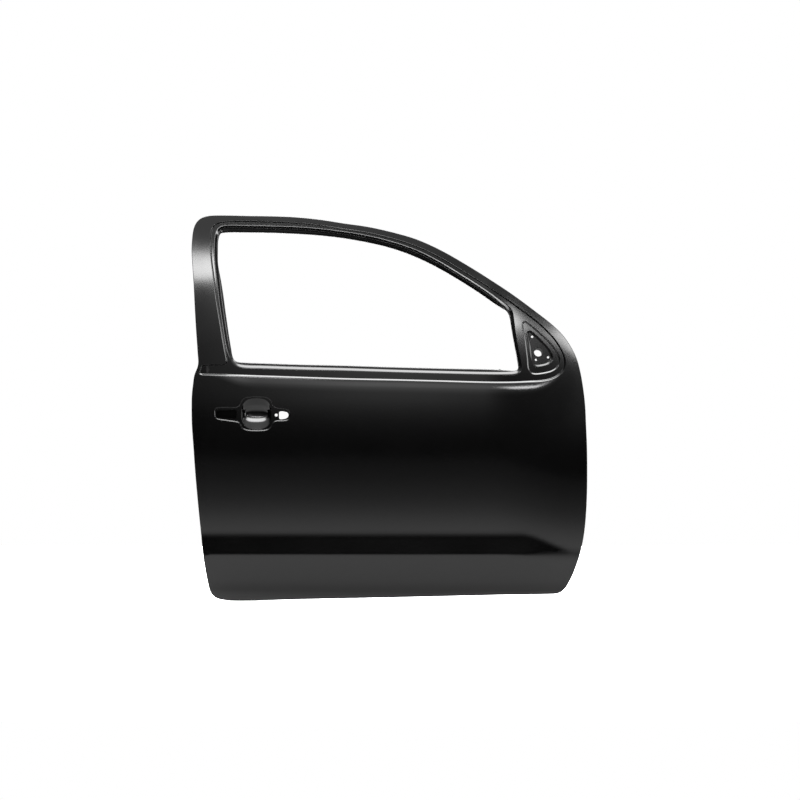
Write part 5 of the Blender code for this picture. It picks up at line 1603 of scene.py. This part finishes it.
@dataclass
class SpotWelds:
    """The round marks of the spot welds, made by Geometry Nodes on aimed points."""

    radius: float = 0.0028
    rim: float = 0.0004
    rim_height: float = 0.6
    dish_height: float = 0.1
    ring_points: int = 18
    rim_points: int = 8
    scale_range: tuple[float, float] = (0.85, 1.15)
    pitch: float = 0.042
    edge: float = 0.008
    seed: int = 11
    lip_share: float = 0.45
    lip_rounds: int = 3
    lip_deep: float = 0.8
    lip_aim: tuple[float, float, float] = (0.0, 1.0, -0.05)
    plate_shares: tuple[float, ...] = (0.04, 0.35, 0.65, 0.96)
    belt_rows: tuple[float, float] = (0.6500, 0.6920)
    belt_run: tuple[float, float] = (0.236, 0.934)
    hinge_plates: tuple[tuple[float, float], ...] = ((0.482, 0.582), (0.226, 0.326))
    check_plate: tuple[float, float, float, float] = (0.056, 0.112, 0.394, 0.478)
    hinge_run: tuple[float, float] = (0.053, 0.115)
    latch_plate: tuple[float, float, float, float] = (0.057, 0.119, 0.439, 0.571)

    def on_lip(self, panel: InnerPanel) -> tuple[Array, Array]:
        """Places and aims along the flange round the window.

        Args:
            panel: The inner panel, whose flange it is.

        Returns:
            The places and the aims, both in u, v and w.
        """
        coarse = window_loop()
        away = coarse[:, 3] * panel.lip_width * self.lip_share
        loop = inset(coarse, away, self.lip_rounds, panel.ease_corner)
        marks = even_loop(loop, self.pitch, softening=0)
        marks = marks[marks[:, 2] > self.lip_deep]
        u, w = marks[:, 0], marks[:, 1]
        reach = marks[:, 3] * panel.lip_width * self.lip_share - panel.ledge_radius
        depth = FORM.inner(u, w) + panel.lip_lean * reach * marks[:, 2] + FORM.sheet / 2
        aims = np.tile(self.lip_aim, (len(marks), 1))
        return np.stack([u, depth, w], axis=1), aims

    def on_belt(self) -> tuple[Array, Array]:
        """Places and aims of the two rows that hold the inner belt strip."""
        start, end = self.belt_run
        count = int((end - start) / self.pitch)
        u = np.tile(np.linspace(start + self.edge, end - self.edge, count), 2)
        w = np.repeat(self.belt_rows, count)
        places = np.stack([u, FORM.inner(u, w) + FORM.sheet / 2, w], axis=1)
        return places, -slope_normals(u, w, FORM.inner)

    def round_plate(self, at: float, low: Sequence[float], high: Sequence[float],
                    facing: float) -> tuple[Array, Array]:
        """Places and aims round the edge of a plate on an end wall.

        Args:
            at: Where the wall stands along the door.
            low: The plate's lowest depth and height.
            high: Its highest depth and height.
            facing: One at the front end, minus one at the rear.

        Returns:
            The places and the aims.
        """
        rows = []
        for share in self.plate_shares:
            height = low[1] + (high[1] - low[1]) * share
            for depth in (low[0] + self.edge, high[0] - self.edge):
                rows.append((at + facing * FORM.sheet / 2, depth, height))
        places = np.array(rows)
        return places, np.tile((facing, 0.0, 0.0), (len(places), 1))

    def layout(self) -> bpy.types.Mesh:
        """Points of every weld with their aims.

        Returns:
            A mesh of points.
        """
        front, rear = FORM.length - FORM.hinge_inset, FORM.latch_inset
        groups = [self.on_lip(InnerPanel()), self.on_belt()]
        plates = [(front, 1.0, (*self.hinge_run, *plate)) for plate in self.hinge_plates]
        plates += [(front, 1.0, self.check_plate), (rear, -1.0, self.latch_plate)]
        for at, facing, (v0, v1, w0, w1) in plates:
            groups.append(self.round_plate(at, (v0, w0), (v1, w1), facing))
        places = np.concatenate([group[0] for group in groups]) - DOOR_ORIGIN
        aims = np.concatenate([group[1] for group in groups])
        mesh = bpy.data.meshes.new("weld_points")
        mesh.from_pydata(places.tolist(), [], [])
        attribute = mesh.attributes.new("aim", "FLOAT_VECTOR", "POINT")
        attribute.data.foreach_set("vector", aims.ravel())
        return mesh

    def build(self, finish: bpy.types.Material) -> bpy.types.Object:
        """Set a pressed ring with a sunk middle on every point.

        Args:
            finish: The welds' material.

        Returns:
            The welds as one piece.
        """
        work = NodeWork("spot_weld_marks")
        radius, rim = work.size("Radius"), work.size("Rim")
        seed = work.size("Seed", "NodeSocketInt")
        material = work.size("Finish", "NodeSocketMaterial")
        least, most = self.scale_range
        circle = work.add("CurvePrimitiveCircle", {
            "Resolution": self.ring_points, "Radius": radius}, "Curve")
        profile = work.add("CurvePrimitiveCircle", {
            "Resolution": self.rim_points, "Radius": rim}, "Curve")
        ring = work.add("CurveToMesh", {"Curve": circle, "Profile Curve": profile})
        ring = work.add("Transform", {"Geometry": ring, "Scale": (1.0, 1.0, self.rim_height)})
        dish = work.add("MeshCircle", {"Vertices": self.ring_points, "Radius": radius},
                        fill_type="NGON")
        dish = work.add("Transform", {
            "Geometry": dish, "Translation": (0.0, 0.0, self.rim * self.dish_height)})
        smooth = work.add("SetShadeSmooth", {"Geometry": work.join(ring, dish)})
        aim = work.add("InputNamedAttribute", {"Name": "aim"}, data_type="FLOAT_VECTOR")
        turn = work.add("FunctionNodeAlignRotationToVector", {"Vector": aim}, axis="Z")
        vary = work.add("FunctionNodeRandomValue", {2: least, 3: most, "Seed": seed}, 1)
        placed = work.add("InstanceOnPoints", {
            "Points": work.entry.outputs["Geometry"], "Instance": smooth, "Rotation": turn,
            "Scale": vary})
        work.close(placed, material)
        return work.make("spot_weld_marks", self.layout(),
                         {"Radius": self.radius, "Rim": self.rim, "Seed": self.seed,
                          "Finish": finish})

    def dress(self, shop: PaintShop) -> None:
        """Build the welds and give them their place."""
        finish = shop.weld.material()
        take_stage(self.build(finish), finish)


@dataclass
class HemSealer:
    """The bead of sealer where the hem's return ends, swept by Geometry Nodes."""

    radius: float = 0.0014
    height_share: float = 0.3
    spread: float = 0.22
    swell_noise: tuple[float, float] = (60.0, 2.0)
    jitter: tuple[float, float] = (0.97, 1.03)
    round_points: int = 10
    spacing: float = 0.006
    back: float = 0.0004
    seed: int = 5

    def path(self) -> bpy.types.Mesh:
        """The bead's middle line, closed.

        Returns:
            A mesh of edges.
        """
        loop = inset(hem_edge(self.spacing), OuterSkin().hem_return + self.back)
        inboard = -slope_normals(loop[:, 0], loop[:, 1], FORM.skin)
        height = FORM.stack + FORM.sheet / 2 + self.radius * self.height_share
        places = laid(loop, FORM.skin) + inboard * height
        mesh = bpy.data.meshes.new("sealer_path")
        count = len(places)
        edges = [(i, (i + 1) % count) for i in range(count)]
        mesh.from_pydata((places - DOOR_ORIGIN).tolist(), edges, [])
        return mesh

    def build(self, finish: bpy.types.Material) -> bpy.types.Object:
        """Sweep an uneven bead along the path.

        Args:
            finish: The sealer's material.

        Returns:
            The bead.
        """
        work = NodeWork("hem_sealer_bead")
        radius, spread = work.size("Radius"), work.size("Spread")
        seed = work.size("Seed", "NodeSocketInt")
        material = work.size("Finish", "NodeSocketMaterial")
        scale, detail = self.swell_noise
        least, most = self.jitter
        line = work.add("MeshToCurve", {"Mesh": work.entry.outputs["Geometry"]})
        noise = work.add("ShaderNodeTexNoise", {"Scale": scale, "Detail": detail})
        turned = work.add("ShaderNodeMath", {0: noise, 1: 0.5}, operation="SUBTRACT")
        swing = work.add("ShaderNodeMath", {0: turned, 1: spread}, operation="MULTIPLY")
        jitter = work.add("FunctionNodeRandomValue", {2: least, 3: most, "Seed": seed}, 1)
        share = work.add("ShaderNodeMath", {0: jitter, 1: swing}, operation="ADD")
        wide = work.add("ShaderNodeMath", {0: share, 1: radius}, operation="MULTIPLY")
        line = work.add("SetCurveRadius", {"Curve": line, "Radius": wide})
        profile = work.add("CurvePrimitiveCircle", {
            "Resolution": self.round_points, "Radius": 1.0}, "Curve")
        bead = work.add("CurveToMesh", {"Curve": line, "Profile Curve": profile,
                                        "Scale": wide})
        smooth = work.add("SetShadeSmooth", {"Geometry": bead})
        work.close(smooth, material)
        return work.make("hem_sealer_bead", self.path(),
                         {"Radius": self.radius, "Spread": self.spread, "Seed": self.seed,
                          "Finish": finish})

    def dress(self, shop: PaintShop) -> None:
        """Build the bead and give it its place."""
        finish = shop.sealer.material()
        take_stage(self.build(finish), finish)


@dataclass
class Reinforcements:
    """The CAD's inner pieces, which keep their shape."""

    nuts: tuple[str, ...] = ("mirror_weld_nut_top", "mirror_weld_nut_front",
                             "mirror_weld_nut_rear", "upper_hinge_nut_plate",
                             "lower_hinge_nut_plate")
    replaced: tuple[str, ...] = ("outer_skin", "inner_panel")

    def dress(self, shop: PaintShop, nodes: dict[str, bpy.types.Object]) -> None:
        """Give each kept node its finish.

        Args:
            shop: The finishes.
            nodes: The frame's nodes.
        """
        steel, nut = shop.steel.material(), shop.nut.material()
        for name, node in nodes.items():
            if name in self.replaced:
                continue
            node.data.materials.clear()
            node.data.materials.append(nut if name in self.nuts else steel)
            log.info("%s keeps its CAD form", name)


@dataclass(frozen=True)
class Softbox:
    """A soft lamp that hangs where the camera sees its reflection at a spot on the skin.

    The spot is a place along the door and a height. The size is a width and a height, the roll
    turns the lamp in its own plane, and an inner one hangs on the car's side, mirrored.
    """

    name: str
    spot: tuple[float, float]
    distance: float
    size: tuple[float, float]
    power: float
    roll: float = 0.0
    inner: bool = False

    def hang(self) -> None:
        """Put the lamp in the scene."""
        data = bpy.data.lights.new(self.name, "AREA")
        data.shape = "RECTANGLE"
        data.size, data.size_y = self.size
        data.energy = self.power
        lamp = link(self.name, data)
        along, height = self.spot
        normal = slope_normals(np.array([along]), np.array([height]), FORM.skin)[0]
        way = Vector((0, 1, 0)).reflect(Vector(normal))
        if self.inner:
            way.y = -way.y
        lamp.location = Vector((along, 0, height)) - Vector(DOOR_ORIGIN) + way * self.distance
        turn = (-way).to_track_quat("-Z", "Y") @ Quaternion((0, 0, 1), self.roll)
        lamp.rotation_euler = turn.to_euler()
        lamp.visible_camera = False


@dataclass
class Studio:
    """Plain pale floor, soft light and the camera at the photograph's angle.

    The stops pair a position with a grey: the sky's and the glow's go by the direction's
    height, and the painted floor light's by the distance ahead of the door as a share of its
    reach. That floor light is painted shade: the floor that the door reflects is pale beside
    the door and darker further ahead.
    """

    lamps: tuple[Softbox, ...] = (
        Softbox("pillar_softbox", (0.051, 1.019), 6.0, (1.1, 0.60), 44.0),
        Softbox("sail_softbox", (1.1273, 0.7920), 6.0, (0.82, 0.38), 19.5, roll=0.50),
        Softbox("inner_softbox", (0.594, 1.0), 4.0, (2.6, 1.2), 90.0, inner=True))
    floor_gap: float = 0.0005
    floor_size: float = 30.0
    view_centre: tuple[float, float] = (0.6267, 0.6027)
    view_width: float = 2.4
    view_distance: float = 40.0
    view_margin: float = 0.05
    sensor: float = 36.0
    backdrop: float = 0.50
    backdrop_start: float = 0.78
    backdrop_end: float = 0.97
    sky_strength: float = 1.5
    paper_white: float = 0.9
    paper_glow: float = 0.42
    floor_light_reach: float = 8.0
    # Painted light on the floor: a grey for each share of the distance ahead of the door, seen
    # only in the door's reflections
    painted_floor_light_stops: tuple[tuple[float, float], ...] = (
        (0.0, 0.92), (0.012, 0.30), (0.05, 0.28), (0.10, 0.22), (0.13, 0.175), (0.17, 0.115),
        (0.24, 0.07), (0.45, 0.04), (0.8, 0.03))
    sky_stops: tuple[tuple[float, float], ...] = (
        (0.0, 0.025), (0.10, 0.03), (0.22, 0.08), (0.40, 0.18), (0.62, 0.42), (0.74, 0.8),
        (0.84, 1.2), (0.90, 9.0), (1.0, 12.0))
    glow_stops: tuple[tuple[float, float], ...] = (
        (0.0, 0.0), (0.05, 0.02), (0.10, 0.07), (0.146, 0.18), (0.18, 0.43), (0.26, 0.50),
        (0.344, 0.66), (0.42, 1.2), (0.50, 1.2), (0.56, 0.0))
    glow_middle: float = 0.01
    glow_reach: float = 0.13
    glow_ahead: float = -0.3
    screen: tuple[float, float, float] = (0.78, 0.94, 4.5)

    def floor(self) -> None:
        """Lay the floor, white to the camera apart from the door's shadow; other rays see
        painted light on it, pale beside the door and darker further ahead.
        """
        half = self.floor_size / 2
        height = -DOOR_ORIGIN[2] - self.floor_gap
        corners = [(x, y, height) for x, y in
                   ((-half, -half), (half, -half), (half, half), (-half, half))]
        mesh = bpy.data.meshes.new("studio_floor")
        mesh.from_pydata(corners, [], [(0, 1, 2, 3)])
        floor = link("studio_floor", mesh)
        material = bpy.data.materials.new("studio_paper")
        material.use_nodes = True
        tree = material.node_tree
        tree.nodes.clear()
        place = add_node(tree, "ShaderNodeTexCoord").outputs["Object"]
        split = add_node(tree, "ShaderNodeSeparateXYZ", {"Vector": place})
        # Painted shade: the floor's colour darkens with the distance ahead of the door, for all
        # rays but the camera's
        share = add_node(tree, "ShaderNodeMath", {
            0: split.outputs["Y"], 1: -1 / self.floor_light_reach}, operation="MULTIPLY")
        fade = grey_ramp(tree, share.outputs["Value"], self.painted_floor_light_stops)
        seen = add_node(tree, "ShaderNodeLightPath").outputs["Is Camera Ray"]
        shade = add_node(tree, "ShaderNodeMix", {
            "Factor": seen, "A": fade, "B": (*(self.paper_white,) * 3, 1)}, data_type="RGBA")
        paper = add_node(tree, "ShaderNodeBsdfDiffuse", {"Color": shade.outputs["Result"]})
        glow = add_node(tree, "ShaderNodeEmission", {"Strength": self.paper_glow})
        clear = add_node(tree, "ShaderNodeEmission", {"Strength": 0.0})
        pick = add_node(tree, "ShaderNodeMixShader", {
            0: seen, 1: clear.outputs[0], 2: glow.outputs[0]})
        both = add_node(tree, "ShaderNodeAddShader", {0: paper.outputs[0], 1: pick.outputs[0]})
        add_node(tree, "ShaderNodeOutputMaterial", {"Surface": both.outputs[0]})
        mesh.materials.append(material)

    def world(self) -> None:
        """Light the room: bright from above, dark at the horizon, white to the camera."""
        world = bpy.data.worlds.new("studio")
        bpy.context.scene.world = world
        world.use_nodes = True
        tree = world.node_tree
        place = add_node(tree, "ShaderNodeTexCoord").outputs["Generated"]
        split = add_node(tree, "ShaderNodeSeparateXYZ", {"Vector": place})
        above = grey_ramp(tree, split.outputs["Z"], self.sky_stops)
        behind = add_node(tree, "ShaderNodeMapRange", {
            "Value": split.outputs["Y"], "From Min": self.backdrop_start,
            "From Max": self.backdrop_end, "To Max": self.backdrop})
        sky = add_node(tree, "ShaderNodeMath", {0: above, 1: behind.outputs["Result"]},
                       operation="MAXIMUM")
        seen = add_node(tree, "ShaderNodeLightPath").outputs["Is Camera Ray"]
        colour = add_node(tree, "ShaderNodeMix", {
            "Factor": seen, "A": self.glow(tree, split, sky.outputs["Value"]),
            "B": (1, 1, 1, 1)}, data_type="RGBA")
        strength = add_node(tree, "ShaderNodeMapRange", {
            "Value": seen, "To Min": self.sky_strength, "To Max": 1.0})
        feed(tree, tree.nodes["Background"], {
            "Color": colour.outputs["Result"], "Strength": strength.outputs["Result"]})

    def glow(self, tree: bpy.types.NodeTree, split: bpy.types.Node,
             sky: bpy.types.NodeSocket) -> bpy.types.NodeSocket:
        """Add a low glow ahead of the door and a bright screen at its front end.

        Args:
            tree: The world's node tree.
            split: The node that splits the direction.
            sky: The sky without them.

        Returns:
            The whole sky.
        """
        def math_node(operation: str, first: bpy.types.NodeSocket,
                      second: bpy.types.NodeSocket) -> bpy.types.NodeSocket:
            """Join two values."""
            node = add_node(tree, "ShaderNodeMath", {0: first, 1: second}, operation=operation)
            return node.outputs["Value"]

        def fade(source: bpy.types.NodeSocket, start: float, end: float,
                 top: float) -> bpy.types.NodeSocket:
            """Smooth rise from nought to a value."""
            inputs = {"Value": source, "From Min": start, "From Max": end, "To Max": top}
            node = add_node(tree, "ShaderNodeMapRange", inputs, interpolation_type="SMOOTHSTEP")
            return node.outputs["Result"]

        along, across, up = (split.outputs[axis] for axis in "XYZ")
        left = fade(along, -self.glow_reach, self.glow_middle, 1.0)
        right = fade(along, self.glow_reach, self.glow_middle, 1.0)
        ahead = fade(across, 0.0, self.glow_ahead, 1.0)
        height = grey_ramp(tree, up, self.glow_stops)
        blob = math_node("MULTIPLY", math_node("MULTIPLY", left, right),
                         math_node("MULTIPLY", height, ahead))
        screen = fade(along, *self.screen)
        return math_node("ADD", math_node("ADD", sky, blob), screen)

    def camera(self) -> None:
        """Stand the camera square to the door, as the photograph does."""
        data = bpy.data.cameras.new("photo_camera")
        data.sensor_width = self.sensor
        data.lens = self.sensor * self.view_distance / self.view_width
        data.clip_end = self.view_distance * 3
        camera = link("photo_camera", data)
        u, w = self.view_centre
        camera.location = (u - DOOR_ORIGIN[0], -self.view_distance - self.view_margin,
                           w - DOOR_ORIGIN[2])
        camera.rotation_euler = (math.pi / 2, 0, 0)
        bpy.context.scene.camera = camera

    def build(self) -> None:
        """Set the whole studio up."""
        self.floor()
        self.world()
        for lamp in self.lamps:
            lamp.hang()
        self.camera()
        bpy.context.scene.view_settings.view_transform = "Standard"


def main() -> None:
    """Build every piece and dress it."""
    logging.basicConfig(level=logging.INFO, format="%(name)s: %(message)s")
    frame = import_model()
    shop = PaintShop()
    OuterSkin().dress(shop)
    InnerPanel().dress(shop)
    SpotWelds().dress(shop)
    HemSealer().dress(shop)
    Reinforcements().dress(shop, frame["nodes"])
    Studio().build()


if __name__ == "__main__":
    main()
